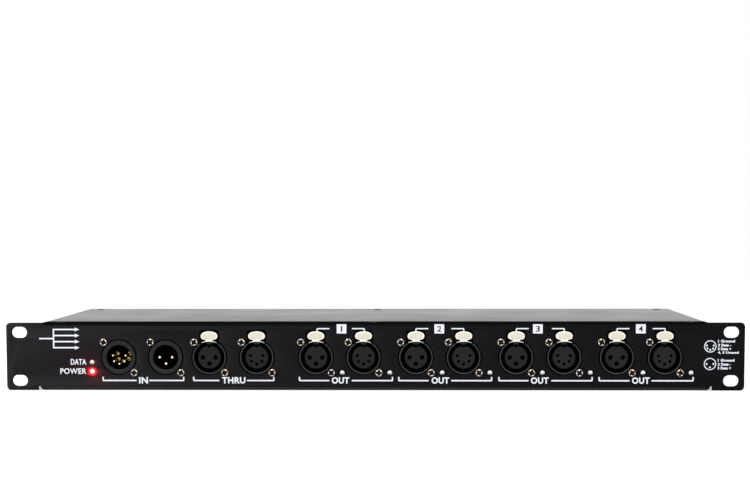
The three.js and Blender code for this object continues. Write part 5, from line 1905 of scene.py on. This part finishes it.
    def glow(self, panel: bpy.types.Object, lit: Lamp) -> None:
        """The red light that a lit lamp throws on the panel: a close light and a wider spot.

        The spot's angle is twice the arc tangent of the halo's radius over its distance.

        Args:
            panel: The only piece that takes the light.
            lit: The lamp.
        """
        for name, kind, away, watts in self.red_lights:
            data = bpy.data.lights.new(name, kind)
            data.color = self.red
            data.energy = watts
            data.shadow_soft_size = 0.0002
            data.use_shadow = False
            if kind == "SPOT":
                data.spot_size = 2 * math.atan2(lit.halo, away)
                data.spot_blend = 0.35
            lamp = bpy.data.objects.new(name, data)
            lamp.rotation_euler = (math.pi / 2, 0, 0)
            lamp.location = (lit.x * METRE, self.bench.front - away * METRE, lit.z * METRE)
            lamp.visible_camera = False
            lamp.visible_glossy = False
            bpy.context.scene.collection.objects.link(lamp)
            self.shine_on(lamp, panel)

    def build(self) -> None:
        """Sets up the floor, the surroundings, the lights, the camera and the colour view."""
        self.floor()
        self.surroundings()
        self.softbox("overhead", (0.0, -0.2, 1.6), (0, 0, 0), (2.2, 1.4), 26.0)
        self.softbox("front_left", (-1.2, -1.5, 1.1), (0, 0, 0.02), (1.0, 1.0), 9.0)
        self.softbox("front_right", (1.2, -1.5, 1.1), (0, 0, 0.02), (1.0, 1.0), 9.0)
        self.camera()
        bpy.context.scene.view_settings.view_transform = "Standard"
        log.info("studio: floor, surroundings, three soft lights and the camera")


def socket_row() -> list[Socket]:
    """The twelve sockets from left to right, with the turns of their screws.

    Returns:
        The sockets.
    """
    row = [
        Socket("in_5pin", -167.1, Contacts.FIVE, True, (0.3, 0.2)),
        Socket("in_3pin", -136.3, Contacts.THREE, True, (0.9, 0.5)),
        Socket("thru_3pin", -107.6, Contacts.THREE, False, (0.6, 1.2)),
        Socket("thru_5pin", -76.46, Contacts.FIVE, False, (0.2, 0.7)),
    ]
    turns = ((0.75, 0.8), (0.3, 0.05), (1.1, 0.5), (0.2, 0.9), (0.6, 0.3), (1.3, 0.7),
             (0.45, 1.0), (0.85, 0.25))
    for group in range(4):
        x = FIRST_OUT_X + OUT_PITCH * group
        row.append(Socket(f"out{group + 1}_3pin", x, Contacts.THREE, False, turns[2 * group]))
        row.append(Socket(f"out{group + 1}_5pin", x + PAIR_PITCH, Contacts.FIVE, False,
                          turns[2 * group + 1]))
    return row


def lamp_row(sockets: list[Socket]) -> list[Lamp]:
    """The two lamps beside the inputs and one to the right of each output.

    Args:
        sockets: The sockets in order.

    Returns:
        The lamps.
    """
    lamps = [Lamp("power_lamp", -184.8, 12.4, RED_LENS, "lamp_red"),
             Lamp("signal_lamp", -184.8, 18.4, DIM_LENS, "lamp_clear", 4.6)]
    lamps += [Lamp(f"{socket.name}_lamp", socket.x + LAMP_OFFSET, LAMP_Z, CLEAR_LENS, "lamp_clear")
              for socket in sockets if socket.name.startswith("out")]
    return lamps


def main() -> None:
    """Builds every sub-assembly in order."""
    logging.basicConfig(level=logging.INFO, format="%(message)s", stream=sys.stdout)
    bench = Bench(front=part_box("chassis_tray")[0][1])
    sockets = socket_row()
    lamps = lamp_row(sockets)
    studio = Studio(bench)
    studio.build()
    panel = Tray(sockets, lamps).build(bench)
    studio.glow(panel, lamps[0])
    studio.side_light(panel)
    Cover().build(bench)
    for assembly in (*sockets, *lamps):
        assembly.build(bench)
    Print(sockets).build(bench)
    Inside().build(bench)
    log.info("%d pieces fitted", bench.made)


if __name__ == "__main__":
    main()
